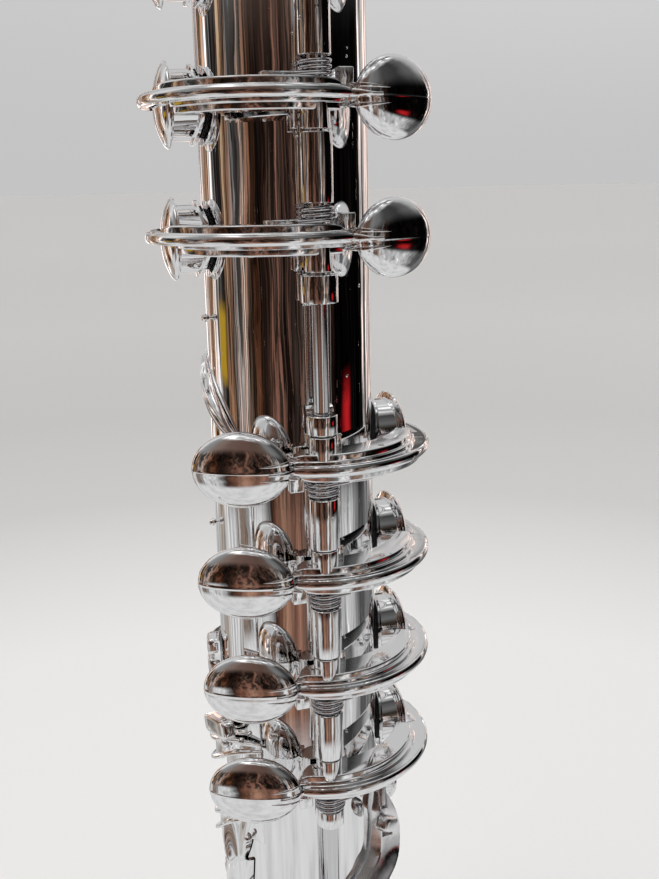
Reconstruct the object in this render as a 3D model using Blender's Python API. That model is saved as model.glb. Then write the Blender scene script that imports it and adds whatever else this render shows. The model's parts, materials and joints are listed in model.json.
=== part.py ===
"""Piccolo: a keyed tube that stands on its foot, made as an assembly of separate pieces.

Everything is in metres, with +Z along the tube from the foot to the crown. The tube's axis is the Z
axis, the foot's flat face is at z = 0 and the keys face the -Y side. Seven keys turn on one long steel
rod beside the tube. Three of them are the same lever turned end for end, so their finger touches lie on
the other side of the rod. A key's plate lies across the tube and carries a pad cup at the tube's side.
"""

import math

import bmesh
import bpy
from mathutils import Matrix, Vector

# ---------------------------------------------------------------- driving dimensions
GAP = 0.00025                 # space left between two pieces that touch on the real object
ENLARGE = 1000.0              # scale at which solids are joined and cut

TUBE_RADIUS = 0.0105          # outside of the body tube at TAPER_LEVEL
TAPER_LEVEL = 0.1525          # height at which the body tube has that radius
TUBE_TAPER = 0.004            # growth in radius per unit of length, towards the foot
BORE_RADIUS = 0.0085
TUBE_FOOT = 0.002
TUBE_TOP = 0.204
TONE_HOLE_RADIUS = 0.0022

HEAD_TOP = 0.310
HEAD_RADIUS = 0.0102
HEAD_BORE = 0.0075
SOCKET_RADIUS = 0.0092
SOCKET_DEPTH = 0.016
TENON_RADIUS = 0.0082
EMBOUCHURE_HEIGHT = 0.262
LENGTH = 0.320

ROD_ANGLE = math.radians(15.85)   # where the rod stands, turned from the -Y side towards +X
ROD_DISTANCE = 0.01326            # from the tube's axis to the rod's axis
ROD_RADIUS = 0.0010
ROD_BORE = 0.00109
ROD_FOOT = 0.0375
ROD_TOP = 0.1885
HINGE_RADIUS = 0.00194
BOSS_RADIUS = 0.0017
BOSS_HEIGHT = 0.0020

LOWER_KEY_LEVELS = [0.1211 - 0.01447 * step for step in range(4)]
UPPER_KEY_LEVELS = [0.17615 - 0.01575 * step for step in range(3)]
LOWER_TUBE_LENGTH = 0.0065
UPPER_TUBE_LENGTH = 0.0078
KEY_TRAVEL = math.radians(8.5)    # most that a key turns, with a little to spare

# A key's plate, seen along the rod: three circles whose centres are given from the tube's axis.
PLATE_THICKNESS = 0.0027
BAND_STEP = 0.0008                # the raised band stands this far over the narrow ledge
LEDGE_STEP = 0.0007               # and the ledge this far over the outer flange
RIM_CENTRE, RIM_RADIUS = (0.00286, 0.00146), 0.01505
BAND_CENTRE, BAND_RADIUS = (0.0023, 0.0023), 0.01276
INNER_CENTRE, INNER_RADIUS = (0.0023, -0.0004), 0.0118
LEDGE_WIDTH = 0.0005
RIM_ROUNDING = 0.00035
PLATE_START, PLATE_END = math.radians(-33.0), math.radians(128.0)
BAND_END = math.radians(67.0)
TIP_START = math.radians(-8.0)
TIP_INNER, TIP_OUTER = 0.0138, 0.0157

CUP_ANGLE = math.radians(94.0)    # pad cup, turned from the rod round the tube
CUP_LEVEL = -0.0015               # cup's centre below the plate's raised face
CUP_NOTCH_HALF = 0.0051
PAD_RADIUS = 0.0036
PAD_OUTER = 0.0119                # distance of the pad's outer face from the tube's axis
CUP_INNER = 0.01215
CUP_OUTER = 0.01575

TOUCH_DISTANCE = 0.01576
TOUCH_ANGLE = math.radians(38.9)
TOUCH_FACING = math.radians(24.0)
TOUCH_SEMI_AXES = (0.00605, 0.0021, 0.0047)
TOUCH_LEVEL = -0.0015

SPRING_WIRE = 0.00028
SPRING_COIL = 0.00158
SPRING_TURNS = 3.0

TUBE_SIDES = 30
SMALL_SIDES = 12


# ---------------------------------------------------------------- scene and materials
def clear_scene():
    for thing in list(bpy.data.objects):
        bpy.data.objects.remove(thing, do_unlink=True)


def make_material(name, colour, roughness, metallic):
    material = bpy.data.materials.new(name)
    material.use_nodes = True
    shader = material.node_tree.nodes["Principled BSDF"]
    shader.inputs["Base Color"].default_value = (*colour, 1.0)
    shader.inputs["Roughness"].default_value = roughness
    shader.inputs["Metallic"].default_value = metallic
    material.diffuse_color = (*colour, 1.0)
    return material


# ---------------------------------------------------------------- mesh helpers
def finish_mesh(name, bm, material, matrix=None):
    """Make an object of a bmesh, with its faces pointing out and its curved faces shaded smooth."""
    bmesh.ops.recalc_face_normals(bm, faces=bm.faces)
    mesh = bpy.data.meshes.new(name)
    bm.to_mesh(mesh)
    bm.free()
    mesh.shade_smooth()
    mesh.set_sharp_from_angle(angle=math.radians(35.0))
    mesh.materials.append(material)
    thing = bpy.data.objects.new(name, mesh)
    bpy.context.scene.collection.objects.link(thing)
    if matrix is not None:
        thing.matrix_world = matrix
    return thing


def turned_bmesh(profile, sides, closed=False):
    """Turn a list of (radius, height) points about Z. A closed profile makes a ring."""
    bm = bmesh.new()
    rings = []
    for radius, height in profile:
        if radius < 1e-9:
            rings.append([bm.verts.new((0.0, 0.0, height))])
            continue
        ring = []
        for side in range(sides):
            angle = 2.0 * math.pi * side / sides
            ring.append(bm.verts.new((radius * math.cos(angle), radius * math.sin(angle), height)))
        rings.append(ring)
    pairs = list(zip(rings, rings[1:]))
    if closed:
        pairs.append((rings[-1], rings[0]))
    for first, second in pairs:
        for side in range(sides):
            following = (side + 1) % sides
            if len(first) == 1:
                bm.faces.new((first[0], second[following], second[side]))
            elif len(second) == 1:
                bm.faces.new((first[side], first[following], second[0]))
            else:
                bm.faces.new((first[side], first[following], second[following], second[side]))
    return bm


def turned(name, profile, material, sides=SMALL_SIDES, closed=False, matrix=None):
    return finish_mesh(name, turned_bmesh(profile, sides, closed), material, matrix)


def sleeve(name, inner, outer, low, high, material, sides=SMALL_SIDES, bevel=0.0, matrix=None):
    """A plain tube with an optional bevel on its outer edges."""
    profile = [(inner, low), (outer - bevel, low), (outer, low + bevel),
               (outer, high - bevel), (outer - bevel, high), (inner, high)]
    if bevel == 0.0:
        profile = [(inner, low), (outer, low), (outer, high), (inner, high)]
    return turned(name, profile, material, sides, closed=True, matrix=matrix)


def lofted_bmesh(sections):
    """Join closed sections of equal point count into one solid with flat ends."""
    bm = bmesh.new()
    rings = [[bm.verts.new(point) for point in section] for section in sections]
    count = len(rings[0])
    for first, second in zip(rings, rings[1:]):
        for index in range(count):
            following = (index + 1) % count
            bm.faces.new((first[index], first[following], second[following], second[index]))
    bm.faces.new(list(reversed(rings[0])))
    bm.faces.new(rings[-1])
    bm.normal_update()
    bmesh.ops.triangulate(bm, faces=[face for face in bm.faces if len(face.verts) > 4])
    return bm


def box_bmesh(low, high, matrix=None):
    bm = bmesh.new()
    bmesh.ops.create_cube(bm, size=1.0)
    size = [high[axis] - low[axis] for axis in range(3)]
    middle = [(high[axis] + low[axis]) / 2.0 for axis in range(3)]
    bmesh.ops.scale(bm, vec=size, verts=bm.verts)
    bmesh.ops.translate(bm, vec=middle, verts=bm.verts)
    if matrix is not None:
        bmesh.ops.transform(bm, matrix=matrix, verts=bm.verts)
    return bm


def combine(thing, bm, operation):
    """Join or cut an object with a bmesh. Both are enlarged first, so that no edge is tiny."""
    bmesh.ops.scale(bm, vec=(ENLARGE,) * 3, verts=bm.verts)
    tool = finish_mesh(thing.name + "_tool", bm, thing.data.materials[0])
    place = thing.matrix_world.copy()
    thing.matrix_world = Matrix.Identity(4)
    thing.data.transform(Matrix.Scale(ENLARGE, 4))
    modifier = thing.modifiers.new("combine", "BOOLEAN")
    modifier.operation = operation
    modifier.solver = "EXACT"
    modifier.object = tool
    bpy.context.view_layer.update()
    graph = bpy.context.evaluated_depsgraph_get()
    result = bpy.data.meshes.new_from_object(thing.evaluated_get(graph))
    thing.modifiers.clear()
    thing.data = result
    bpy.data.objects.remove(tool, do_unlink=True)
    result.transform(Matrix.Scale(1.0 / ENLARGE, 4))
    thing.matrix_world = place
    result.shade_smooth()
    result.set_sharp_from_angle(angle=math.radians(35.0))


def along_direction(origin, direction):
    """A frame whose Z axis points along a direction, for pieces turned about a sideways axis."""
    rotation = Vector(direction).to_track_quat("Z", "Y").to_matrix().to_4x4()
    return Matrix.Translation(origin) @ rotation


def tube_radius_at(height):
    return TUBE_RADIUS + TUBE_TAPER * (TAPER_LEVEL - height)


def around_tube(radius, angle, height):
    """A point beside the tube. The angle is turned from the -Y side towards +X."""
    return Vector((radius * math.sin(angle), -radius * math.cos(angle), height))


# ---------------------------------------------------------------- key frames
def key_frame(level, turned_over):
    """The frame of one key: Z on the rod, Y towards the tube's axis, X towards the pad cup."""
    place = Matrix.Translation(around_tube(ROD_DISTANCE, ROD_ANGLE, level))
    frame = place @ Matrix.Rotation(ROD_ANGLE, 4, "Z")
    if turned_over:
        frame = frame @ Matrix.Rotation(math.pi, 4, "Y")
    return frame


def from_axis(radius, angle, height=0.0):
    """A point in a key's frame, given from the tube's axis and turned from the rod's side."""
    return Vector((radius * math.sin(angle), ROD_DISTANCE - radius * math.cos(angle), height))


def reach(centre, radius, angle):
    """Distance from the tube's axis to a circle, along one direction. Centre Y points to the rod."""
    along = centre[0] * math.sin(angle) + centre[1] * math.cos(angle)
    square = along * along - centre[0] ** 2 - centre[1] ** 2 + radius * radius
    return along + math.sqrt(square)


def swung_tube_centre():
    """Where the tube's axis lies in the key's frame when the key is pressed, from its place at rest."""
    return (-ROD_DISTANCE * math.sin(KEY_TRAVEL), ROD_DISTANCE * (1.0 - math.cos(KEY_TRAVEL)))


def tip_share(angle):
    """How far the plate has bent away from its circles to meet the touch: 0 at first, 1 at its end."""
    return min(1.0, max(0.0, (TIP_START - angle) / (TIP_START - PLATE_START)))


def inner_edge(angle):
    clear = tube_radius_at(LOWER_KEY_LEVELS[-1]) + 0.0004
    edge = max(clear, reach(INNER_CENTRE, INNER_RADIUS, angle), reach(swung_tube_centre(), clear, angle))
    edge += (TIP_INNER - edge) * tip_share(angle)
    offset = angle - CUP_ANGLE
    across = abs(math.tan(offset)) * CUP_OUTER
    if abs(offset) < 1.0 and across < CUP_NOTCH_HALF:
        edge = max(edge, (CUP_OUTER + 0.00045 - 0.0006 * across / CUP_NOTCH_HALF) / math.cos(offset))
    return edge


def plate_section(angle, banded):
    """One cross-section of the key plate, on a plane through the tube's axis."""
    inner = inner_edge(angle)
    outer = reach(RIM_CENTRE, RIM_RADIUS, angle)
    outer += (TIP_OUTER - outer) * tip_share(angle)
    band = max(reach(BAND_CENTRE, BAND_RADIUS, angle), inner + 0.0002)
    ledge = max(reach(BAND_CENTRE, BAND_RADIUS + LEDGE_WIDTH, angle), band + 0.0002)
    ledge = min(ledge, outer - 0.0007)
    band = min(band, ledge - 0.0002)
    flange = -BAND_STEP - LEDGE_STEP
    bottom = -PLATE_THICKNESS
    top, middle = 0.0, -BAND_STEP
    if not banded:
        top, middle = flange - 0.00010, flange - 0.00004
        band = inner + (outer - inner) * 0.12
        ledge = inner + (outer - inner) * 0.28
    points = [(inner, bottom), (inner, top), (band, top), (band + 0.00005, middle),
              (ledge, middle), (ledge + 0.00005, flange), (outer - RIM_ROUNDING, flange),
              (outer, flange - 0.0003), (outer, bottom + 0.0003), (outer - RIM_ROUNDING, bottom)]
    return [from_axis(radius, angle, height) for radius, height in points]


def plate_bmesh():
    """The crescent plate: banded from the touch to the cup, then a plain flange round the cup."""
    notch = math.atan(CUP_NOTCH_HALF / CUP_OUTER)
    angles = [PLATE_START + (BAND_END - PLATE_START) * step / 10.0 for step in range(11)]
    sections = [plate_section(angle, True) for angle in angles]
    edges = [BAND_END + 0.004, CUP_ANGLE - notch - 0.004, CUP_ANGLE - notch + 0.004]
    edges += [CUP_ANGLE + notch * part for part in (-0.5, 0.0, 0.5)]
    edges += [CUP_ANGLE + notch - 0.004, CUP_ANGLE + notch + 0.004, PLATE_END]
    sections += [plate_section(angle, False) for angle in edges]
    return lofted_bmesh(sections)


def touch_bmesh():
    """The oval finger touch, thin towards the tube and facing outwards."""
    bm = bmesh.new()
    bmesh.ops.create_uvsphere(bm, u_segments=16, v_segments=8, radius=1.0)
    bmesh.ops.scale(bm, vec=TOUCH_SEMI_AXES, verts=bm.verts)
    place = Matrix.Translation(from_axis(TOUCH_DISTANCE, -TOUCH_ANGLE, TOUCH_LEVEL))
    turn = Matrix.Rotation(-TOUCH_FACING, 4, "Z")
    bmesh.ops.transform(bm, matrix=place @ turn, verts=bm.verts)
    return bm


def rod_hole_bmesh(low, high):
    return turned_bmesh([(0.0, low), (ROD_BORE, low), (ROD_BORE, high), (0.0, high)], SMALL_SIDES)


def make_lever(name, frame, material):
    lever = finish_mesh(name, plate_bmesh(), material, frame)
    combine(lever, touch_bmesh(), "UNION")
    boss = [(0.0, -0.0015), (BOSS_RADIUS, -0.0015), (BOSS_RADIUS, BOSS_HEIGHT - 0.0001),
            (BOSS_RADIUS - 0.0001, BOSS_HEIGHT), (0.0, BOSS_HEIGHT)]
    combine(lever, turned_bmesh(boss, SMALL_SIDES), "UNION")
    lug_low = (-0.0044, -0.0008, -PLATE_THICKNESS - 0.0019)
    lug_high = (-0.0026, 0.0006, -PLATE_THICKNESS + 0.0008)
    combine(lever, box_bmesh(lug_low, lug_high), "UNION")
    combine(lever, rod_hole_bmesh(-0.01, 0.01), "DIFFERENCE")
    return lever


# ---------------------------------------------------------------- pieces of one key
def make_pad_and_cup(number, frame, tube_radius, metal, felt):
    """The pad lies against the tube; its cup stands out sideways as a short spool with a domed end."""
    direction = from_axis(1.0, CUP_ANGLE) - from_axis(0.0, CUP_ANGLE)
    base = along_direction(from_axis(0.0, 0.0, CUP_LEVEL), direction)
    pad = [(0.0, tube_radius + 0.0003), (PAD_RADIUS - 0.0002, tube_radius + 0.0003),
           (PAD_RADIUS, tube_radius + 0.0005), (PAD_RADIUS, PAD_OUTER), (0.0, PAD_OUTER)]
    turned("pad_%d" % number, pad, felt, matrix=frame @ base)
    cup = [(0.0, CUP_INNER), (0.0040, CUP_INNER), (0.0041, CUP_INNER + 0.0005),
           (0.0037, CUP_INNER + 0.0006), (0.0037, 0.0139), (0.0047, 0.0143),
           (0.0046, 0.0149), (0.0032, 0.01555), (0.0, CUP_OUTER)]
    turned("pad_cup_%d" % number, cup, metal, sides=14, matrix=frame @ base)


def make_hinge_tube(number, frame, length, metal):
    low = BOSS_HEIGHT + GAP
    sleeve("hinge_tube_%d" % number, ROD_BORE, HINGE_RADIUS, low, low + length, metal, matrix=frame)


def coil_bmesh(low, turns, coil_radius, wire_radius, leg):
    """A torsion spring round Z: close turns, with a straight leg that runs on from the last turn."""
    steps = 9
    wire_sides = 4
    pitch = 2.0 * wire_radius + 0.00012
    route = []
    for step in range(int(turns * steps) + 1):
        angle = 2.0 * math.pi * step / steps
        height = low + wire_radius + pitch * angle / (2.0 * math.pi)
        route.append(Vector((coil_radius * math.cos(angle), coil_radius * math.sin(angle), height)))
    tangent = (route[-1] - route[-2]).normalized()
    route.append(route[-1] + tangent * leg)
    bm = bmesh.new()
    rings = []
    for index, point in enumerate(route):
        ahead = route[min(index + 1, len(route) - 1)]
        behind = route[max(index - 1, 0)]
        forward = (ahead - behind).normalized()
        side = forward.cross(Vector((0.0, 0.0, 1.0))).normalized()
        upward = side.cross(forward)
        ring = []
        for corner in range(wire_sides):
            angle = 2.0 * math.pi * corner / wire_sides
            offset = side * math.cos(angle) + upward * math.sin(angle)
            ring.append(bm.verts.new(point + offset * wire_radius))
        rings.append(ring)
    for first, second in zip(rings, rings[1:]):
        for corner in range(wire_sides):
            following = (corner + 1) % wire_sides
            bm.faces.new((first[corner], first[following], second[following], second[corner]))
    bm.faces.new(list(reversed(rings[0])))
    bm.faces.new(rings[-1])
    return bm


def make_spring(name, frame, steel):
    """The spring sits on the rod just past the plate's flat side."""
    length = SPRING_TURNS * (2.0 * SPRING_WIRE + 0.00012) + 2.0 * SPRING_WIRE
    low = -PLATE_THICKNESS - GAP - length
    bm = coil_bmesh(low, SPRING_TURNS, SPRING_COIL, SPRING_WIRE, 0.0016)
    finish_mesh(name, bm, steel, frame)


def make_key(number, level, turned_over, tube_length, metals):
    frame = key_frame(level, turned_over)
    make_lever("lever_%d" % number, frame, metals["chrome"])
    make_pad_and_cup(number, frame, tube_radius_at(level), metals["chrome"], metals["felt"])
    make_spring("spring_%d" % number, frame, metals["steel"])
    if tube_length:
        make_hinge_tube(number, frame, tube_length, metals["chrome"])


# ---------------------------------------------------------------- rod and posts
def make_post(name, low, high, collar_radius, metals):
    """A collar on the rod, with a leg down to a small saddle on the tube."""
    middle = (low + high) / 2.0
    place = Matrix.Translation(around_tube(ROD_DISTANCE, ROD_ANGLE, 0.0)) @ Matrix.Rotation(ROD_ANGLE, 4, "Z")
    surface = tube_radius_at(middle) + GAP
    post = turned(name, [(0.0, low), (collar_radius - 0.0002, low), (collar_radius, low + 0.0002),
                         (collar_radius, high - 0.0002), (collar_radius - 0.0002, high), (0.0, high)],
                  metals["chrome"], matrix=place)
    foot = ROD_DISTANCE - surface - 0.0002
    combine(post, box_bmesh((-0.0009, 0.0008, low + 0.0003), (0.0009, foot, high - 0.0003)), "UNION")
    thickness = 0.0006
    steps = 4
    sections = []
    for step in range(steps + 1):
        angle = math.radians(-7.0 + 18.0 * step / steps)
        sections.append([from_axis(surface, angle, low - 0.0006), from_axis(surface + thickness, angle, low - 0.0002),
                         from_axis(surface + thickness, angle, high + 0.0002), from_axis(surface, angle, high + 0.0006)])
    combine(post, lofted_bmesh(sections), "UNION")
    hole = [(0.0, low - 0.01), (ROD_BORE, low - 0.01), (ROD_BORE, high + 0.01), (0.0, high + 0.01)]
    combine(post, turned_bmesh(hole, SMALL_SIDES), "DIFFERENCE")


def make_rod(metals):
    """The steel rod that every key turns on, with a slotted head above its top post."""
    place = Matrix.Translation(around_tube(ROD_DISTANCE, ROD_ANGLE, 0.0))
    head = 0.0013
    profile = [(0.0, ROD_FOOT), (ROD_RADIUS - 0.0002, ROD_FOOT), (ROD_RADIUS, ROD_FOOT + 0.0002),
               (ROD_RADIUS, ROD_TOP - 0.0014), (0.0017, ROD_TOP - 0.0014), (0.0017, ROD_TOP - 0.0003),
               (0.0015, ROD_TOP), (0.0, ROD_TOP)]
    rod = turned("hinge_rod", profile, metals["steel"], matrix=place)
    slot = box_bmesh((-0.003, -0.0002, ROD_TOP - 0.0006), (0.003, 0.0002, ROD_TOP + head))
    combine(rod, slot, "DIFFERENCE")


# ---------------------------------------------------------------- tubes
def make_body_tube(holes, metals):
    """The body tube: a slow taper outside, a straight bore, a socket at the top and the tone holes."""
    profile = [(BORE_RADIUS, TUBE_FOOT), (tube_radius_at(TUBE_FOOT), TUBE_FOOT),
               (tube_radius_at(TUBE_TOP), TUBE_TOP), (SOCKET_RADIUS, TUBE_TOP),
               (SOCKET_RADIUS, TUBE_TOP - SOCKET_DEPTH), (BORE_RADIUS, TUBE_TOP - SOCKET_DEPTH)]
    body = turned("body_tube", profile, metals["chrome"], sides=TUBE_SIDES, closed=True)
    for angle, height in holes:
        frame = along_direction(Vector((0.0, 0.0, height)), around_tube(1.0, angle, 0.0))
        hole = turned_bmesh([(0.0, 0.006), (TONE_HOLE_RADIUS, 0.006), (TONE_HOLE_RADIUS, 0.014), (0.0, 0.014)], 12)
        bmesh.ops.transform(hole, matrix=frame, verts=hole.verts)
        combine(body, hole, "DIFFERENCE")
    for level in LOWER_KEY_LEVELS:
        combine(body, touch_stop_bmesh(level), "UNION")


def touch_stop_bmesh(level):
    """A low rib on the tube, under a lower key's touch, that stops the touch."""
    angle = ROD_ANGLE - math.radians(50.0)
    low = level - 0.0030
    high = level + 0.0072
    rise = 0.0004
    half = 0.0009
    surface = tube_radius_at(level)
    frame = Matrix.Rotation(angle, 4, "Z")
    return box_bmesh((-half, -surface - rise, low), (half, -surface + 0.0008, high), frame)


def make_head(metals):
    """The head tube, with the tenon that slides into the body and the blow hole's chimney opening."""
    shoulder = TUBE_TOP + 0.0018
    profile = [(HEAD_BORE, TUBE_TOP - SOCKET_DEPTH + GAP), (TENON_RADIUS, TUBE_TOP - SOCKET_DEPTH + GAP),
               (TENON_RADIUS, shoulder), (HEAD_RADIUS, shoulder), (HEAD_RADIUS, HEAD_TOP), (HEAD_BORE, HEAD_TOP)]
    head = turned("head_tube", profile, metals["chrome"], sides=TUBE_SIDES, closed=True)
    combine(head, blow_hole_bmesh(), "DIFFERENCE")
    cork = [(TENON_RADIUS + 0.0002, TUBE_TOP - 0.0145), (SOCKET_RADIUS - 0.0003, TUBE_TOP - 0.0145),
            (SOCKET_RADIUS - 0.0003, TUBE_TOP - 0.0015), (TENON_RADIUS + 0.0002, TUBE_TOP - 0.0015)]
    turned("tenon_cork", cork, metals["cork"], sides=TUBE_SIDES, closed=True)


def blow_hole_bmesh():
    hole = turned_bmesh([(0.0, 0.004), (0.0049, 0.004), (0.0049, 0.018), (0.0, 0.018)], 20)
    stretch = Matrix.Diagonal((1.0, 0.86, 1.0, 1.0))
    bmesh.ops.transform(hole, matrix=stretch, verts=hole.verts)
    frame = along_direction(Vector((0.0, 0.0, EMBOUCHURE_HEIGHT)), Vector((0.0, -1.0, 0.0)))
    bmesh.ops.transform(hole, matrix=frame @ Matrix.Rotation(math.pi / 2.0, 4, "Z"), verts=hole.verts)
    return hole


def make_lip_plate(metals):
    """The oval lip plate, curved round the head tube, open over the blow hole."""
    inner = HEAD_RADIUS + GAP
    outer = HEAD_RADIUS + 0.0021
    columns = 16
    sections = []
    half_angle = math.radians(62.0)
    half_height = 0.0145
    for column in range(columns + 1):
        part = -0.985 + 1.97 * column / columns
        angle = half_angle * part
        height = half_height * math.sqrt(1.0 - part * part)
        edge = outer - 0.0007
        sections.append([around_tube(inner, angle, -height), around_tube(edge, angle, -height),
                         around_tube(outer, angle, -height * 0.86), around_tube(outer, angle, height * 0.86),
                         around_tube(edge, angle, height), around_tube(inner, angle, height)])
    frame = Matrix.Translation((0.0, 0.0, EMBOUCHURE_HEIGHT))
    plate = finish_mesh("lip_plate", lofted_bmesh(sections), metals["chrome"], frame)
    hole = blow_hole_bmesh()
    bmesh.ops.transform(hole, matrix=frame.inverted(), verts=hole.verts)
    combine(plate, hole, "DIFFERENCE")


def make_rings_and_crown(metals):
    foot_radius = tube_radius_at(0.004)
    foot = [(BORE_RADIUS, 0.0), (0.0124, 0.0), (0.0128, 0.0005), (0.0128, 0.0022), (0.0124, 0.0034),
            (0.0121, 0.0068), (0.0118, 0.0074), (foot_radius + GAP, 0.0074),
            (foot_radius + GAP, TUBE_FOOT - GAP), (BORE_RADIUS, TUBE_FOOT - GAP)]
    turned("foot_ring", foot, metals["chrome"], sides=TUBE_SIDES, closed=True)
    socket = tube_radius_at(0.192) + GAP
    collar = [(socket, 0.1915), (0.0116, 0.1915), (0.0120, 0.1925), (0.0116, 0.1938), (0.0115, 0.2012),
              (0.0121, 0.2024), (0.0121, 0.2044), (0.0117, 0.2052), (HEAD_RADIUS + GAP, 0.2052),
              (TENON_RADIUS + 0.0005, 0.2052), (TENON_RADIUS + 0.0005, TUBE_TOP + GAP), (socket, TUBE_TOP + GAP)]
    turned("socket_ring", collar, metals["chrome"], sides=TUBE_SIDES, closed=True)
    start = HEAD_TOP + GAP
    crown = [(0.0, start), (0.0104, start), (0.0108, start + 0.0006), (0.0108, start + 0.0030),
             (0.0101, start + 0.0038), (0.0098, start + 0.0062), (0.0080, LENGTH - 0.0012),
             (0.0045, LENGTH - 0.0001), (0.0, LENGTH)]
    turned("crown", crown, metals["chrome"], sides=TUBE_SIDES)
    cork_top = 0.2830
    stem = [(0.0, cork_top + GAP), (0.0032, cork_top + GAP), (0.0032, cork_top + 0.0014),
            (0.0013, cork_top + 0.0016), (0.0013, HEAD_TOP), (0.0, HEAD_TOP)]
    turned("stopper_stem", stem, metals["brass"])
    cork = [(0.0, 0.2725), (0.0071, 0.2725), (0.0072, 0.2730), (0.0072, cork_top - 0.0003), (0.0070, cork_top),
            (0.0, cork_top)]
    turned("stopper_cork", cork, metals["cork"], sides=24)


# ---------------------------------------------------------------- foot key
FOOT_LEVEL = 0.0500
FOOT_CUP_ANGLE = math.radians(97.0)
FOOT_CUP_LEVEL = 0.0655


def channel_section(radius, angle, height, width, depth, slope):
    """A U-shaped section, open outwards, on a route that climbs round the tube."""
    out = around_tube(1.0, angle, 0.0)
    round_tube = Vector((math.cos(angle), math.sin(angle), 0.0))
    across = (Vector((0.0, 0.0, 1.0)) * math.cos(slope) - round_tube * math.sin(slope)).normalized()
    middle = around_tube(radius, angle, height)
    wall = 0.0006
    half = width / 2.0
    corners = [(-half, 0.0), (-half, depth), (-half + wall, depth), (-half + wall, wall),
               (half - wall, wall), (half - wall, depth), (half, depth), (half, 0.0)]
    return [middle + across * side + out * lift for side, lift in corners]


def make_foot_key(metals):
    """The foot key: its arm is a channel that climbs round the tube to a pad cup at the side."""
    frame = key_frame(FOOT_LEVEL, False)
    hub = [(0.0, -0.0030), (0.0017, -0.0030), (HINGE_RADIUS, -0.0028), (HINGE_RADIUS, 0.0048),
           (0.0017, 0.0050), (0.0, 0.0050)]
    lever = turned("foot_lever", hub, metals["chrome"], matrix=frame)
    combine(lever, touch_bmesh(), "UNION")
    neck_sections = []
    for step in range(4):
        angle = math.radians(-30.0 + 30.0 * step / 3.0)
        low, high = TOUCH_LEVEL - 0.0009, TOUCH_LEVEL + 0.0009
        neck_sections.append([from_axis(0.0131, angle, low), from_axis(0.0148, angle, low),
                              from_axis(0.0148, angle, high), from_axis(0.0131, angle, high)])
    combine(lever, lofted_bmesh(neck_sections), "UNION")
    inverse = frame.inverted()
    arm = []
    steps = 12
    for step in range(steps + 1):
        part = step / steps
        angle = ROD_ANGLE + math.radians(4.0 + 72.0 * part)
        height = FOOT_LEVEL + 0.0010 + 0.0150 * part ** 1.05
        slope = math.radians(50.0) * (1.0 - 0.35 * part)
        width = 0.0042 - 0.0012 * part
        section = channel_section(0.0121 + 0.0004 * part, angle, height, width, 0.0021, slope)
        arm.append([inverse @ point for point in section])
    combine(lever, lofted_bmesh(arm), "UNION")
    combine(lever, rod_hole_bmesh(-0.01, 0.01), "DIFFERENCE")

    direction = around_tube(1.0, ROD_ANGLE + FOOT_CUP_ANGLE, 0.0)
    place = along_direction(Vector((0.0, 0.0, FOOT_CUP_LEVEL)), direction)
    surface = tube_radius_at(FOOT_CUP_LEVEL)
    pad = [(0.0, surface + 0.0003), (PAD_RADIUS, surface + 0.0003), (PAD_RADIUS, PAD_OUTER + 0.0001),
           (0.0, PAD_OUTER + 0.0001)]
    turned("foot_pad", pad, metals["felt"], matrix=place)
    cup = [(0.0, CUP_INNER + 0.0001), (0.0039, CUP_INNER + 0.0001), (0.0040, CUP_INNER + 0.0006),
           (0.0040, 0.0136), (0.0034, 0.0143), (0.0015, 0.0146), (0.0, 0.0146)]
    turned("foot_pad_cup", cup, metals["chrome"], sides=14, matrix=place)
    spring = coil_bmesh(-0.0030 - GAP - 0.0027, SPRING_TURNS, SPRING_COIL, SPRING_WIRE, 0.0016)
    finish_mesh("foot_spring", spring, metals["steel"], frame)


# ---------------------------------------------------------------- side keys
SIDE_ROD_ANGLE = math.radians(-128.0)
SIDE_ROD_DISTANCE = 0.0126
SIDE_ROD_RADIUS = 0.0006
SIDE_ROD_BORE = 0.00069
SIDE_HUB_RADIUS = 0.0013
SIDE_ROD_LOW, SIDE_ROD_HIGH = 0.0505, 0.1395

# Each side key: hub from and to, then its arm's stations. A station is an angle in degrees, a level,
# a height, and where its inner and outer faces lie from the tube's axis.
SIDE_KEYS = {
    "side_key_1": ((0.1280, 0.1345), [(-128, 0.1318, 0.0040, 0.01125, 0.0122), (-108, 0.1312, 0.0034, 0.01115, 0.0119),
                                      (-88, 0.1297, 0.0026, 0.0111, 0.0117), (-68, 0.1268, 0.0022, 0.0111, 0.0116),
                                      (-52, 0.1241, 0.0020, 0.0111, 0.0116), (-41, 0.1221, 0.0013, 0.0111, 0.0115)]),
    "side_key_2": ((0.0850, 0.0920), [(-128, 0.0886, 0.0052, 0.01135, 0.0124), (-110, 0.0886, 0.0053, 0.0113, 0.0128),
                                      (-92, 0.0886, 0.0054, 0.0113, 0.0130), (-76, 0.0886, 0.0052, 0.0113, 0.0126)]),
    "side_key_3": ((0.0710, 0.0790), [(-128, 0.0750, 0.0066, 0.01135, 0.0124), (-110, 0.0750, 0.0068, 0.0114, 0.0130),
                                      (-92, 0.0750, 0.0071, 0.0114, 0.0135), (-72, 0.0750, 0.0071, 0.0114, 0.0132),
                                      (-54, 0.0746, 0.0060, 0.0114, 0.0122)]),
    "side_key_4": ((0.0540, 0.0640), [(-128, 0.0594, 0.0080, 0.01135, 0.0124), (-110, 0.0594, 0.0088, 0.0114, 0.0126),
                                      (-90, 0.0594, 0.0092, 0.0114, 0.0128), (-70, 0.0592, 0.0090, 0.0114, 0.0126),
                                      (-50, 0.0605, 0.0060, 0.0114, 0.0120)]),
}


def side_axis_frame(height):
    return Matrix.Translation(around_tube(SIDE_ROD_DISTANCE, SIDE_ROD_ANGLE, height))


def plain_cylinder(radius, low, high, sides=SMALL_SIDES):
    return turned_bmesh([(0.0, low), (radius, low), (radius, high), (0.0, high)], sides)


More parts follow.
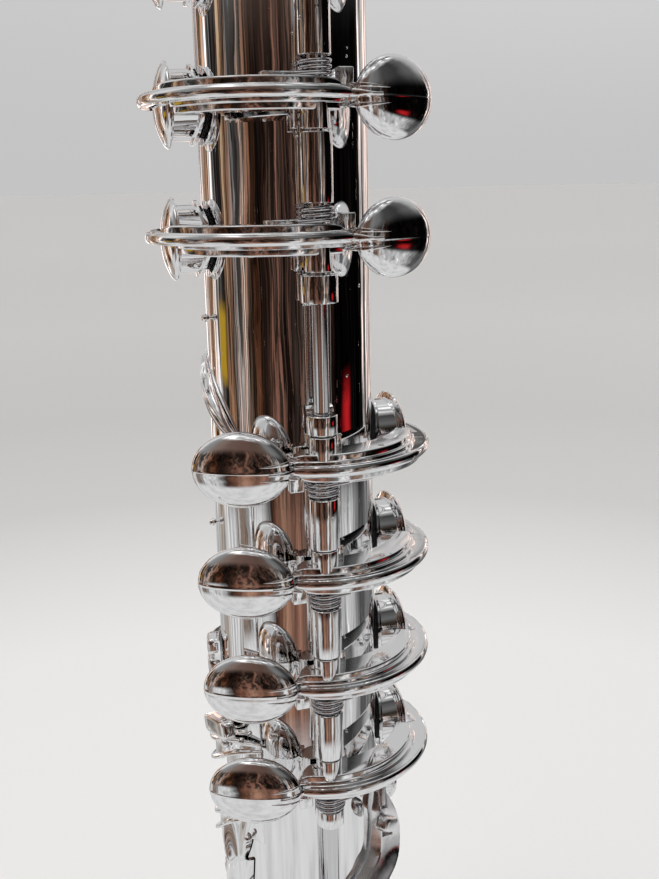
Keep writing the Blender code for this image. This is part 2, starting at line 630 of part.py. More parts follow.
def make_side_keys(metals):
    """Short keys that wrap round the tube's left side, on a thin rod behind it."""
    for name, (hub_span, stations) in SIDE_KEYS.items():
        low, high = hub_span
        frame = side_axis_frame(low)
        back = frame.inverted()
        key = finish_mesh(name, plain_cylinder(SIDE_HUB_RADIUS, 0.0, high - low), metals["chrome"], frame)
        arm = []
        for degrees, level, height, inner, outer in stations:
            angle = math.radians(degrees)
            half = height / 2.0
            bevel = min(0.0004, (outer - inner) * 0.4)
            arm.append([back @ around_tube(inner, angle, level - half), back @ around_tube(outer - bevel, angle, level - half),
                        back @ around_tube(outer, angle, level - half + bevel),
                        back @ around_tube(outer, angle, level + half - bevel),
                        back @ around_tube(outer - bevel, angle, level + half), back @ around_tube(inner, angle, level + half)])
        combine(key, lofted_bmesh(arm), "UNION")
        combine(key, plain_cylinder(SIDE_ROD_BORE, -0.01, high - low + 0.01), "DIFFERENCE")
    rod = plain_cylinder(SIDE_ROD_RADIUS, SIDE_ROD_LOW, SIDE_ROD_HIGH)
    finish_mesh("side_rod", rod, metals["steel"], side_axis_frame(0.0))
    for name, low in (("side_post_top", 0.1357), ("side_post_middle", 0.1050), ("side_post_bottom", 0.0515)):
        make_side_post(name, low, low + 0.0022, metals)


def make_side_post(name, low, high, metals):
    """A small collar on the side rod, with a foot that stands on the tube."""
    frame = side_axis_frame(low) @ Matrix.Rotation(SIDE_ROD_ANGLE, 4, "Z")
    post = finish_mesh(name, plain_cylinder(SIDE_HUB_RADIUS, 0.0, high - low), metals["chrome"], frame)
    surface = SIDE_ROD_DISTANCE - tube_radius_at(low) - GAP - 0.0001
    foot = box_bmesh((-0.0009, 0.0003, 0.0003), (0.0009, surface, high - low - 0.0003))
    combine(post, foot, "UNION")
    combine(post, plain_cylinder(SIDE_ROD_BORE, -0.01, 0.02), "DIFFERENCE")


# ---------------------------------------------------------------- assembly
def main():
    clear_scene()
    metals = {
        "chrome": make_material("chrome", (0.80, 0.80, 0.81), 0.06, 1.0),
        "steel": make_material("steel", (0.62, 0.62, 0.63), 0.18, 1.0),
        "felt": make_material("felt", (0.03, 0.03, 0.035), 0.8, 0.0),
        "cork": make_material("cork", (0.55, 0.38, 0.22), 0.85, 0.0),
        "brass": make_material("brass", (0.78, 0.60, 0.28), 0.25, 1.0),
    }
    holes = []
    for index, level in enumerate(UPPER_KEY_LEVELS):
        length = UPPER_TUBE_LENGTH if index < 2 else 0.0
        make_key(index + 1, level, True, length, metals)
        holes.append((ROD_ANGLE - CUP_ANGLE, level - CUP_LEVEL))
    for index, level in enumerate(LOWER_KEY_LEVELS):
        length = LOWER_TUBE_LENGTH if index > 0 else 0.0
        make_key(index + 4, level, False, length, metals)
        holes.append((ROD_ANGLE + CUP_ANGLE, level + CUP_LEVEL))
    holes.append((ROD_ANGLE + FOOT_CUP_ANGLE, FOOT_CUP_LEVEL))

    make_rod(metals)
    make_post("post_top", 0.1832, 0.1862, HINGE_RADIUS, metals)
    make_post("post_upper_end", 0.1391, 0.1424, 0.0023, metals)
    make_post("post_lower_start", 0.1234, 0.1258, HINGE_RADIUS, metals)
    make_post("post_lower_end", 0.0697, 0.0721, 0.0018, metals)
    make_post("post_foot", 0.0395, 0.0425, HINGE_RADIUS, metals)
    make_body_tube(holes, metals)
    make_head(metals)
    make_lip_plate(metals)
    make_rings_and_crown(metals)
    make_foot_key(metals)
    make_side_keys(metals)


main()
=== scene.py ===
"""Looks for the keyed tube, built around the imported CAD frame. Everything is in metres.

The CAD nodes give each piece its place and body. Most are shown here by finer pieces made from the same
dimensions: smooth turned tubes, swept crescent plates, coiled springs and domed cups, all in mirror chrome
with the small marks that such a finish has.
"""
import json
from math import asin, copysign, cos, hypot, pi, radians, sin, sqrt, tan

import bmesh
import bpy
from mathutils import Matrix, Vector


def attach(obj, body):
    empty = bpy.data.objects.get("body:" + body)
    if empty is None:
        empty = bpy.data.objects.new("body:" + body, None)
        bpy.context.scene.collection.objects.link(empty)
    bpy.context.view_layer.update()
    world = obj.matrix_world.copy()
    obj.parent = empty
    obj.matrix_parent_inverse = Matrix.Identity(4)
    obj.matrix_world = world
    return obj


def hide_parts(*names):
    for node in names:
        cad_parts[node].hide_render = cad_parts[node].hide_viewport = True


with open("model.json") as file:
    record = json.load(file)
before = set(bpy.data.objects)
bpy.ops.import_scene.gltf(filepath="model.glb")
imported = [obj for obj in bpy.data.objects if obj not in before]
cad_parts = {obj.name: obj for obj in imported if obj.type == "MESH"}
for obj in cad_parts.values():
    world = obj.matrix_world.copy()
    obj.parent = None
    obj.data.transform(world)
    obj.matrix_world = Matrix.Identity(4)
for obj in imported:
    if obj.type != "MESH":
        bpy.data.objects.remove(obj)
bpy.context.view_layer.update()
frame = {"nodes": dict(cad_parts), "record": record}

# ---------- dimensions shared with the CAD
TUBE_RADIUS, TAPER_LEVEL, TUBE_TAPER = 0.0105, 0.1525, 0.004
BORE_RADIUS = 0.0085
TUBE_FOOT, TUBE_TOP, HEAD_TOP, LENGTH = 0.002, 0.204, 0.31, 0.32
HEAD_RADIUS, HEAD_BORE, TENON_RADIUS, SOCKET_RADIUS, SOCKET_DEPTH = 0.0102, 0.0075, 0.0082, 0.0092, 0.016
EMBOUCHURE_HEIGHT = 0.262
ROD_ANGLE, ROD_DISTANCE = radians(15.85), 0.01326
ROD_RADIUS, ROD_BORE, ROD_FOOT, ROD_TOP = 0.001, 0.00109, 0.0375, 0.1885
HINGE_RADIUS, BOSS_RADIUS, BOSS_HEIGHT = 0.00194, 0.0017, 0.002
LOWER_KEY_LEVELS = [0.1211 - 0.01447 * step for step in range(4)]
UPPER_KEY_LEVELS = [0.17615 - 0.01575 * step for step in range(3)]
LOWER_TUBE_LENGTH, UPPER_TUBE_LENGTH = 0.0065, 0.0078
PLATE_THICKNESS, BAND_STEP, LEDGE_STEP = 0.0027, 0.0008, 0.0007
RIM_CENTRE, RIM_RADIUS = (0.00286, 0.00146), 0.01505
BAND_CENTRE, BAND_RADIUS = (0.0023, 0.0023), 0.01276
INNER_CENTRE, INNER_RADIUS = (0.0023, -0.0004), 0.0118
PLATE_START, PLATE_END = radians(-33), radians(128)
BAND_END, TIP_START, TIP_INNER = radians(67), radians(-8), 0.0138
CUP_ANGLE, CUP_LEVEL, CUP_NOTCH_HALF = radians(94), -0.0015, 0.0051
PAD_OUTER, CUP_OUTER = 0.0119, 0.01575
TOUCH_DISTANCE, TOUCH_ANGLE, TOUCH_FACING = 0.01576, radians(38.9), radians(24)
TOUCH_SEMI_AXES, TOUCH_LEVEL = (0.00605, 0.0021, 0.0047), -0.0015
KEY_TRAVEL = radians(8.5)
SPRING_WIRE, SPRING_COIL, SPRING_TURNS = 0.00028, 0.00158, 3
FOOT_LEVEL, FOOT_CUP_LEVEL, FOOT_CUP_ANGLE = 0.05, 0.0655, radians(97)
SIDE_ROD_ANGLE, SIDE_ROD_DISTANCE = radians(-128), 0.0126
GAP = 0.00025

# ---------- finer shapes that only the looks have
MM = 0.001
LEAF_START, LEAF_END = radians(-10), radians(-25.5)
LEDGE_WIDTH, RIM_TRIM, TOUCH_TRIM = 0.0005, 0.00007, 0.98
EDGE_SOFT, LEDGE_SOFT, RIM_BEAD, RIM_HALF_HEIGHT = 0.00022, 0.00014, 0.00036, 0.00062
PLATE_STEPS, UNDERSIDE_STEPS, RIB_STEPS = 120, 60, 44
STEM_CLEAR = 0.0003
SMOOTH_TUBE_SIDES, TURNED_SIDES, SADDLE_SIDES = 192, 128, 96
BAND_STEPS, BAND_POINTS, LIP_SHARE, LIP_RISE, HULL_CLEAR = 8, 24, 0.09, 0.0003, 0.00015


# ---------- node helpers
def opaque(colour):
    """A grey or a colour as red, green, blue and full alpha."""
    return (*(colour if isinstance(colour, tuple) else (colour,) * 3), 1)


class Nodes:
    """A short way to add and link shader nodes."""

    def __init__(self, tree):
        self.tree = tree

    def add(self, kind, inputs=(), **values):
        node = self.tree.nodes.new(kind)
        for name, value in values.items():
            setattr(node, name, value)
        for socket, value in dict(inputs).items():
            self.put(node, socket, value)
        return node

    def put(self, node, socket, value):
        """Link a value to an input, or set the input to a number or a colour."""
        entry = node.inputs[socket]
        if not isinstance(value, (int, float, tuple)):
            self.tree.links.new(value, entry)
        elif entry.type == "RGBA":
            entry.default_value = opaque(value)
        else:
            entry.default_value = value

    def math(self, operation, *values):
        return self.add("ShaderNodeMath", enumerate(values), operation=operation).outputs[0]

    def times(self, first, second):
        return self.math("MULTIPLY", first, second)

    def plus(self, first, second):
        return self.math("ADD", first, second)

    def minus(self, first, second):
        return self.math("SUBTRACT", first, second)

    def ramp(self, factor, stops, interpolation="LINEAR"):
        node = self.add("ShaderNodeValToRGB", {"Fac": factor})
        node.color_ramp.interpolation = interpolation
        elements = node.color_ramp.elements
        elements.remove(elements[1])
        for index, (position, colour) in enumerate(stops):
            element = elements.new(position) if index else elements[0]
            element.position, element.color = position, opaque(colour)
        return node.outputs["Color"]

    def mix(self, factor, first, second, blend="MIX"):
        # The colour form of this node takes its factor in input 0 and its colours in inputs 6 and 7.
        inputs = {0: factor, 6: first, 7: second}
        return self.add("ShaderNodeMix", inputs, data_type="RGBA", blend_type=blend).outputs[2]

    def smooth(self, value, low, high, start=0, end=1):
        inputs = {"Value": value, "From Min": low, "From Max": high, "To Min": start, "To Max": end}
        return self.add("ShaderNodeMapRange", inputs, interpolation_type="SMOOTHSTEP").outputs["Result"]

    def noise(self, vector, scale, detail=2, roughness=0.5):
        inputs = {"Vector": vector, "Scale": scale, "Detail": detail, "Roughness": roughness}
        return self.add("ShaderNodeTexNoise", inputs).outputs["Fac"]

    def bump(self, height, distance, shader):
        node = self.add("ShaderNodeBump", {"Height": height, "Distance": distance})
        self.put(shader, "Normal", node.outputs["Normal"])


def shown(grey):
    """Scene brightness for a grey given as it is to look on screen, from 0 to 255."""
    part = grey / 255
    return part / 12.92 if part <= 0.04045 else ((part + 0.055) / 1.055) ** 2.4


def tint(red, green, blue):
    return (shown(red), shown(green), shown(blue))


# ---------- materials
def new_material(name):
    """A material with its node helper, its shader and the object coordinates that its patterns use."""
    material = bpy.data.materials.new(name)
    material.use_nodes = True
    n = Nodes(material.node_tree)
    shader = material.node_tree.nodes["Principled BSDF"]
    return material, n, shader, n.add("ShaderNodeTexCoord").outputs["Object"]


def chrome_material(name, base, roughness, specks, wobble, scratch):
    """Mirror plating over a casting: a faint ripple, small pimples, hairline scratches and dull patches."""
    material, n, shader, place = new_material(name)
    n.put(shader, "Metallic", 1)

    patches = n.noise(place, 260, 4, 0.6)
    fine = n.noise(place, 2600, 3, 0.6)
    rough = n.plus(n.smooth(patches, 0.35, 0.75, roughness * 0.7, roughness * 1.7),
                   n.smooth(fine, 0.55, 0.8, 0, roughness * 0.8))
    n.put(shader, "Roughness", rough)

    stretch = n.add("ShaderNodeMapping", {"Vector": place, "Scale": (1, 1, 0.05)})
    hairs = n.noise(stretch.outputs["Vector"], 5200, 2, 0.7)
    hair_mask = n.times(n.smooth(hairs, 0.66, 0.74), n.smooth(patches, 0.45, 0.6))

    cells = n.add("ShaderNodeTexVoronoi", {"Vector": place, "Scale": 330})
    chosen = n.math("GREATER_THAN", n.noise(cells.outputs["Position"], 90, 0), 0.53)
    pimples = n.times(n.smooth(cells.outputs["Distance"], 0.03, 0.085, 1, 0), chosen)

    dull = tuple(c * 0.62 for c in base)
    shade = n.mix(n.times(hair_mask, 0.35), base, dull)
    n.put(shader, "Base Color", n.mix(n.times(pimples, 0.55), shade, dull))

    height = n.times(n.noise(place, 120, 1), 2.2 * wobble)
    height = n.plus(height, n.times(n.noise(place, 620, 1), 0.22 * wobble))
    height = n.plus(height, n.times(pimples, 0.05 * specks))
    height = n.minus(height, n.times(hair_mask, 0.004 * scratch))
    n.bump(height, 0.001, shader)
    return material


def fibre_and_shade_material(name, dark, light, scale, roughness):
    """Felt or cork: a grainy, matt stuff with small pits. It also makes the near-black painted shade for the
    blow hole.
    """
    material, n, shader, place = new_material(name)
    grain = n.noise(place, scale, 5, 0.7)
    n.put(shader, "Base Color", n.ramp(grain, [(0.3, dark), (0.7, light)]))
    n.put(shader, "Roughness", n.smooth(grain, 0.3, 0.7, roughness, roughness + 0.12))
    n.put(shader, "Sheen Weight", 0.3)
    n.bump(grain, 0.0002, shader)
    return material


def floor_material():
    """Pale paper that darkens a little away from the object: the lighter centre is a painted pool of light.
    """
    material, n, shader, place = new_material("floor")
    length = n.add("ShaderNodeVectorMath", {0: place}, operation="LENGTH")
    # Colour stops by distance from the object; the bright centre is painted light, not the paper's tone.
    stops = [(0, (0.93, 0.93, 0.92)), (0.08, (0.9, 0.9, 0.89)), (0.108, (0.8, 0.8, 0.79)),
             (0.144, (0.67, 0.67, 0.66)), (0.22, (0.63, 0.63, 0.62)), (0.4, (0.7, 0.7, 0.69)),
             (1, (0.75, 0.75, 0.745))]
    n.put(shader, "Base Color", n.ramp(n.times(length.outputs["Value"], 0.4), stops))
    n.put(shader, "Roughness", n.smooth(n.noise(place, 900, 3), 0.3, 0.7, 0.75, 0.9))
    return material


SILVER = (0.93, 0.93, 0.935)
# Material name, colour, roughness, then how strong the specks, the ripple and the scratches are.
LOOKS = {key: chrome_material(*settings) for key, settings in {
    "chrome": ("chrome_key", SILVER, 0.028, 1, 0.02, 1),
    "plate": ("chrome_plate", SILVER, 0.075, 1.2, 0.006, 1),
    "touch": ("chrome_touch", SILVER, 0.06, 1, 0.012, 1),
    "arm": ("chrome_arm", SILVER, 0.3, 1.2, 0.006, 1),
    "tube": ("chrome_tube", SILVER, 0.018, 1.3, 0.014, 1),
    "steel": ("spring_steel", (0.66, 0.66, 0.68), 0.1, 0.2, 0.01, 0.5),
    "rod": ("rod_steel", (0.74, 0.74, 0.75), 0.07, 0.3, 0.01, 1.5),
    "brass": ("brass_stem", (0.78, 0.6, 0.28), 0.2, 0.3, 0.02, 1)}.items()}
# Material name, dark and light colour, how fine the grain is, and roughness.
LOOKS |= {key: fibre_and_shade_material(*settings) for key, settings in {
    "felt": ("pad_felt", (0.015, 0.015, 0.017), (0.06, 0.06, 0.065), 2600, 0.8),
    "cork": ("cork_grain", (0.3, 0.18, 0.09), (0.62, 0.45, 0.27), 900, 0.75),
    # inside_shade is no fibre but near-black painted shade for the bore seen through the blow hole.
    "dark": ("inside_shade", (0.004, 0.004, 0.004), (0.02, 0.02, 0.02), 700, 0.5)}.items()}


# ---------- mesh helpers
def make_piece(name, bm, look, body, matrix=None, stands_for=(), slot="chrome", sharp=32):
    if matrix is not None:
        moved(bm, matrix)
    bmesh.ops.recalc_face_normals(bm, faces=bm.faces)
    mesh = bpy.data.meshes.new(name)
    bm.to_mesh(mesh)
    bm.free()
    mesh.shade_smooth()
    mesh.set_sharp_from_angle(angle=radians(sharp))
    mesh.materials.append(LOOKS[look])
    thing = in_scene(name, mesh)
    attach(thing, body)
    if stands_for:
        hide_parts(*stands_for)


def in_scene(name, data, glossy=True):
    thing = bpy.data.objects.new(name, data)
    thing.visible_glossy = glossy
    bpy.context.scene.collection.objects.link(thing)
    return thing


def moved(bm, matrix):
    bmesh.ops.transform(bm, matrix=matrix, verts=bm.verts)
    return bm


def circle(count):
    """Evenly spaced angles round a full turn."""
    return [2 * pi * index / count for index in range(count)]


def skin(bm, rings, closed=False):
    """Faces between rings of vertices that follow each other. A ring of one vertex is a pole."""
    for first, second in zip(rings, rings[1:] + (rings[:1] if closed else [])):
        count = max(len(first), len(second))
        for here in range(count):
            after = (here + 1) % count
            corners = (first[here % len(first)], first[after % len(first)],
                       second[after % len(second)], second[here % len(second)])
            bm.faces.new(list(dict.fromkeys(corners)))


def turned_bmesh(profile, sides=96, closed=False):
    """Turn a list of (radius, height) points about Z."""
    bm = bmesh.new()
    rings = [[bm.verts.new((radius * cos(turn), radius * sin(turn), height))
              for turn in (circle(sides) if radius else [0])] for radius, height in profile]
    skin(bm, rings, closed)
    return bm


def square(inner, outer, low, high):
    """A four-cornered profile."""
    return [(inner, low), (outer, low), (outer, high), (inner, high)]


def rounded(profile, radius, steps=4, closed=False):
    """Round the corners of a profile of (radius, height) points."""
    count = len(profile)
    result = []
    for index, point in enumerate(profile):
        here = Vector(point)
        before, after = (Vector(profile[(index + side) % count]) - here for side in (-1, 1))
        shorter = min(before.length, after.length)
        loose = not closed and index in (0, count - 1)
        if loose or shorter < 1e-9 or before.angle(after) > radians(165):
            result.append(point)
            continue
        size = min(radius, shorter * 0.45)
        start, end = here + before.normalized() * size, here + after.normalized() * size
        for step in range(steps + 1):
            part = step / steps
            spot = start * (1 - part) ** 2 + here * 2 * part * (1 - part) + end * part ** 2
            result.append((spot.x, spot.y))
    return result


def lofted_bmesh(sections, bm=None):
    """Join closed sections of equal point count, with a fan over each end."""
    bm = bm or bmesh.new()
    rings = [[bm.verts.new(point) for point in section] for section in sections]
    skin(bm, rings)
    for ring in (rings[0][::-1], rings[-1]):
        cap = bm.faces.new(ring)
        cap.normal_update()
        bmesh.ops.triangulate(bm, faces=[cap])
    return bm


def around_tube(radius, angle, height=0):
    return Vector((radius * sin(angle), -radius * cos(angle), height))


def beside_tube(radius, turn, height=0):
    """The frame of a part that sits beside the tube and faces away from it."""
    return Matrix.Translation(around_tube(radius, turn, height)) @ Matrix.Rotation(turn, 4, "Z")


def tube_radius_at(height):
    return TUBE_RADIUS + TUBE_TAPER * (TAPER_LEVEL - height)


def along_direction(origin, direction):
    rotation = Vector(direction).to_track_quat("Z", "Y").to_matrix().to_4x4()
    return Matrix.Translation(origin) @ rotation


def block_bmesh(low, high, bevel, bm, matrix=None):
    """Add a box with rounded edges."""
    part = bmesh.new()
    bmesh.ops.create_cube(part, size=1)
    bmesh.ops.scale(part, vec=[high[k] - low[k] for k in range(3)], verts=part.verts)
    bmesh.ops.translate(part, vec=[(high[k] + low[k]) / 2 for k in range(3)], verts=part.verts)
    bmesh.ops.bevel(part, geom=part.edges, offset=bevel, segments=3, profile=0.5, affect="EDGES")
    if matrix is not None:
        moved(part, matrix)
    joined(bm, part)


def joined(bm, part):
    """Add one bmesh to another and return the result."""
    mesh = bpy.data.meshes.new("joined")
    part.to_mesh(mesh)
    part.free()
    bm.from_mesh(mesh)
    bpy.data.meshes.remove(mesh)
    return bm


# ---------- key plates and touches
def key_frame(level, turned_over):
    place = beside_tube(ROD_DISTANCE, ROD_ANGLE, level)
    return place @ Matrix.Rotation(pi, 4, "Y") if turned_over else place


def from_axis(radius, angle, height=0):
    """A point in a key's own frame, by its distance and direction from the tube's axis."""
    return Vector((radius * sin(angle), ROD_DISTANCE - radius * cos(angle), height))


def slice_at(angle, outline):
    """A section of a sweep about the tube's axis, from (radius, height) points."""
    return [from_axis(radius, angle, height) for radius, height in outline]


def reach(centre, radius, angle):
    """How far from the tube's axis a circle's far side lies in one direction."""
    along = centre[0] * sin(angle) + centre[1] * cos(angle)
    return along + sqrt(along * along - centre[0] ** 2 - centre[1] ** 2 + radius * radius)


def inner_edge(angle):
    """The plate's inner edge: clear of the tube in every pose, narrow at the tip, notched at the cup."""
    clear = tube_radius_at(LOWER_KEY_LEVELS[-1]) + 0.0004
    swung = (-ROD_DISTANCE * sin(KEY_TRAVEL), ROD_DISTANCE * (1 - cos(KEY_TRAVEL)))
    edge = max(clear, reach(INNER_CENTRE, INNER_RADIUS, angle), reach(swung, clear, angle))
    edge += (TIP_INNER - edge) * min(1, max(0, (TIP_START - angle) / (TIP_START - PLATE_START)))
    offset = angle - CUP_ANGLE
    across = abs(tan(offset)) * CUP_OUTER
    if abs(offset) < 1 and across < CUP_NOTCH_HALF:
        edge = max(edge, (CUP_OUTER + 0.00045 - 0.0006 * across / CUP_NOTCH_HALF) / cos(offset))
    return edge


def plate_section(angle, band_share):
    """One cross-section of the crescent: raised band, narrow ledge, flange and a thick half-round rim."""
    inner, outer, share = plate_edges(angle)
    flange, bottom = -BAND_STEP - LEDGE_STEP + 0.0002, -PLATE_THICKNESS
    band = max(reach(BAND_CENTRE, BAND_RADIUS, angle), inner + 0.0002)
    ledge = max(reach(BAND_CENTRE, BAND_RADIUS + LEDGE_WIDTH, angle), band + 0.0002)
    ledge = min(ledge, outer - 0.0011)
    band = min(band, ledge - 0.0002)
    width = outer - inner
    if width < 0.0022:
        band, ledge = inner + width * 0.14, inner + width * 0.3
    top = flange * (1 - band_share)
    middle = flange + (-BAND_STEP - flange) * band_share
    room = outer - ledge
    bead = min(RIM_BEAD, room * 0.3)
    heel = outer - bead
    rim = flange - 0.00056
    squash = 1 if band_share else 0.1

    def quarter_round(at, level, size, turns):
        return [(at - size + size * cos(radians(turn)), level - size * (1 - sin(radians(turn))) * squash)
                for turn in turns]

    corners = [(inner, bottom + 0.0001), (inner, top - 0.0001), (inner + 0.0001, top)]
    corners += quarter_round(band, top, min(EDGE_SOFT, (band - inner) * 0.4), (90, 68, 45, 22, 0))
    corners += [(band + 0.00003, middle + 0.00004), (band + 0.0001, middle)]
    corners += quarter_round(ledge, middle, LEDGE_SOFT, (90, 60, 30, 0))
    corners += [(ledge + 0.00004, flange + 0.00005 * band_share), (ledge + min(0.00012, room * 0.1), flange),
                (outer - bead * 1.9, flange)]
    corners += [(heel + bead * cos(radians(turn)), rim + RIM_HALF_HEIGHT * sin(radians(turn)))
                for turn in (110, 90, 66, 44, 22, 0, -22, -44, -66, -90)]
    corners += [(heel - 0.0002, rim - 0.00064), (heel - 0.0003, bottom + 0.00006), (heel - 0.0004, bottom),
                (inner + 0.0001, bottom)]
    centre, keep = -0.0016, 1 - 0.74 * share
    return slice_at(angle, [(radius, centre + (height - centre) * keep) for radius, height in corners])


def plate_edges(angle):
    """Inner and outer edge of the plate, and how far it has narrowed on its way out on the touch's face."""
    inner = inner_edge(max(angle, TIP_START))
    outer = reach(RIM_CENTRE, RIM_RADIUS, angle) - RIM_TRIM
    share = min(1, max(0, (LEAF_START - angle) / (LEAF_START - LEAF_END)))
    share = share * share * (3 - 2 * share)
    if angle < LEAF_START:
        outer = max(outer, touch_face(angle, -0.0016) + 0.00022)
    return inner + (outer - 0.0005 - inner) * share, outer, share


def plate_bmesh():
    """The crescent with two ribs, an underside layer, two small blocks and a ring mark."""
    angles = [LEAF_END + (PLATE_END - LEAF_END) * step / PLATE_STEPS for step in range(PLATE_STEPS + 1)]
    stations = [(angle, angle <= BAND_END) for angle in angles] + [(BAND_END, 1), (BAND_END + 0.004, 0)]
    bm = lofted_bmesh([plate_section(*station) for station in sorted(stations)])
    rib_bmesh(-0.0004, -0.00075, 0.00028, bm)
    rib_bmesh(-0.00275, -0.00235, 0.00026, bm)
    under = []
    for step in range(UNDERSIDE_STEPS + 1):
        part = step / UNDERSIDE_STEPS
        angle = radians(-13 + 90 * part)
        inner, outer, _ = plate_edges(angle)
        bottom = -PLATE_THICKNESS - 0.00085 * sqrt(max(0.01, 1 - (2 * part - 1) ** 8))
        outline = square(inner + 0.0002, outer - 0.0011, -0.002, bottom)
        under.append(slice_at(angle, rounded(outline, 0.0003, 5, True)))
    lofted_bmesh(under, bm)
    block_bmesh((0.0016, -0.001, -PLATE_THICKNESS - 0.0013), (0.0062, 0.0008, -PLATE_THICKNESS + 0.0004),
                0.00015, bm)
    block_bmesh((0.0018, 0.0006, -0.0005), (0.0027, 0.0015, 0.0019), 0.00012, bm)
    mark = [(0.00022, -0.0002), (0.00026, 0.00005), (0.00034, 0.00008), (0.00042, 0.00005),
            (0.00046, -0.0002)]
    place = Matrix.Translation(from_axis(0.0151, radians(31)))
    return joined(bm, moved(turned_bmesh(mark, 28, True), place))


def touch_face(angle, height):
    """How far from the tube axis the outer side of the touch lies, or nothing where it isn't."""
    turn = Matrix.Rotation(TOUCH_FACING, 3, "Z")
    aim = turn @ (from_axis(1, angle) - from_axis(0, angle))
    start = turn @ (from_axis(0, angle) - from_axis(TOUCH_DISTANCE, -TOUCH_ANGLE))
    along, across, upward = TOUCH_SEMI_AXES
    a = (aim.x / along) ** 2 + (aim.y / across) ** 2
    b = 2 * (aim.x * start.x / along ** 2 + aim.y * start.y / across ** 2)
    c = (start.x / along) ** 2 + (start.y / across) ** 2 + ((height - TOUCH_LEVEL) / upward) ** 2 - 1
    inside = b * b - 4 * a * c
    return (-b + sqrt(inside)) / (2 * a) if inside > 0 else 0


def rib_bmesh(low, high, half, bm):
    """A thin rib that leaves the rim and runs out on the face of the touch."""
    start, end, lift = -13, -29.5, 0.00014
    sections = []
    for step in range(RIB_STEPS + 1):
        part = step / RIB_STEPS
        angle = radians(start + (end - start) * part)
        height = low + (high - low) * part
        taper = max(0.02, min(1, part * 4) * (1 - part ** 2))
        face = max(reach(RIM_CENTRE, RIM_RADIUS, angle) - 0.0003, touch_face(angle, height))
        section = [(face + lift * taper * sin(turn), half * taper * cos(turn)) for turn in circle(24)[:13]]
        section += [(face - 0.0009, side * half * taper * 0.9) for side in (-1, 1)]
        sections.append([from_axis(radius, angle, height + side) for radius, side in section])
    lofted_bmesh(sections, bm)


def touch_bmesh():
    """The oval touch: fuller in the middle, drawn out to a blunt point at the neck, with a parting line."""
    rows, columns, line = 40, 64, 0.012
    along, across, upward = TOUCH_SEMI_AXES
    across *= TOUCH_TRIM
    latitudes = {pi * row / rows - pi / 2 for row in range(1, rows)} | {-line, -line / 3, line / 3, line}
    bm = bmesh.new()
    rings = []
    for latitude in sorted(latitudes):
        swell = cos(latitude) * (1.006 if abs(latitude) <= line / 2 else 1)
        ring = []
        for turn in circle(columns):
            neck = 1 - 0.1 * max(0, cos(turn) * cos(latitude)) ** 3
            ring.append(bm.verts.new((cos(turn) * swell * along, sin(turn) * swell * across,
                                      sin(latitude) * upward * neck)))
        rings.append(ring)
    bottom, top = ([bm.verts.new((0, 0, height))] for height in (-upward, upward))
    skin(bm, [bottom] + rings + [top])
    return moved(bm, Matrix.Translation(from_axis(TOUCH_DISTANCE, -TOUCH_ANGLE, TOUCH_LEVEL))
                 @ Matrix.Rotation(-TOUCH_FACING, 4, "Z"))


def ring_bmesh(profile, soft, steps, sides):
    return turned_bmesh(rounded(profile, soft, steps, closed=True), sides, closed=True)


def sleeve_bmesh(inner, outer, low, high, bevel, sides=64):
    return ring_bmesh(square(inner, outer, low, high), bevel, 3, sides)


def headings(route):
    """The direction of a route at each of its points."""
    return [(after - before).normalized() for before, after in zip(route[:1] + route, route[1:] + route[-1:])]


def coil_bmesh(low, turns, coil_radius, wire_radius, leg):
    """A coil of round wire about Z that ends in a straight leg."""
    steps, wire_sides = 28, 10
    pitch = 2 * wire_radius + 0.00012
    route = []
    for step in range(int(turns * steps) + 1):
        angle = 2 * pi * step / steps
        height = low + wire_radius + pitch * angle / (2 * pi)
        route.append(Vector((coil_radius * cos(angle), coil_radius * sin(angle), height)))
    route.append(route[-1] + (route[-1] - route[-2]).normalized() * leg)
    sections = []
    for point, forward in zip(route, headings(route)):
        side = forward.cross(Vector((0, 0, 1))).normalized()
        upward = side.cross(forward)
        sections.append([point + (side * cos(a) + upward * sin(a)) * wire_radius for a in circle(wire_sides)])
    return lofted_bmesh(sections)


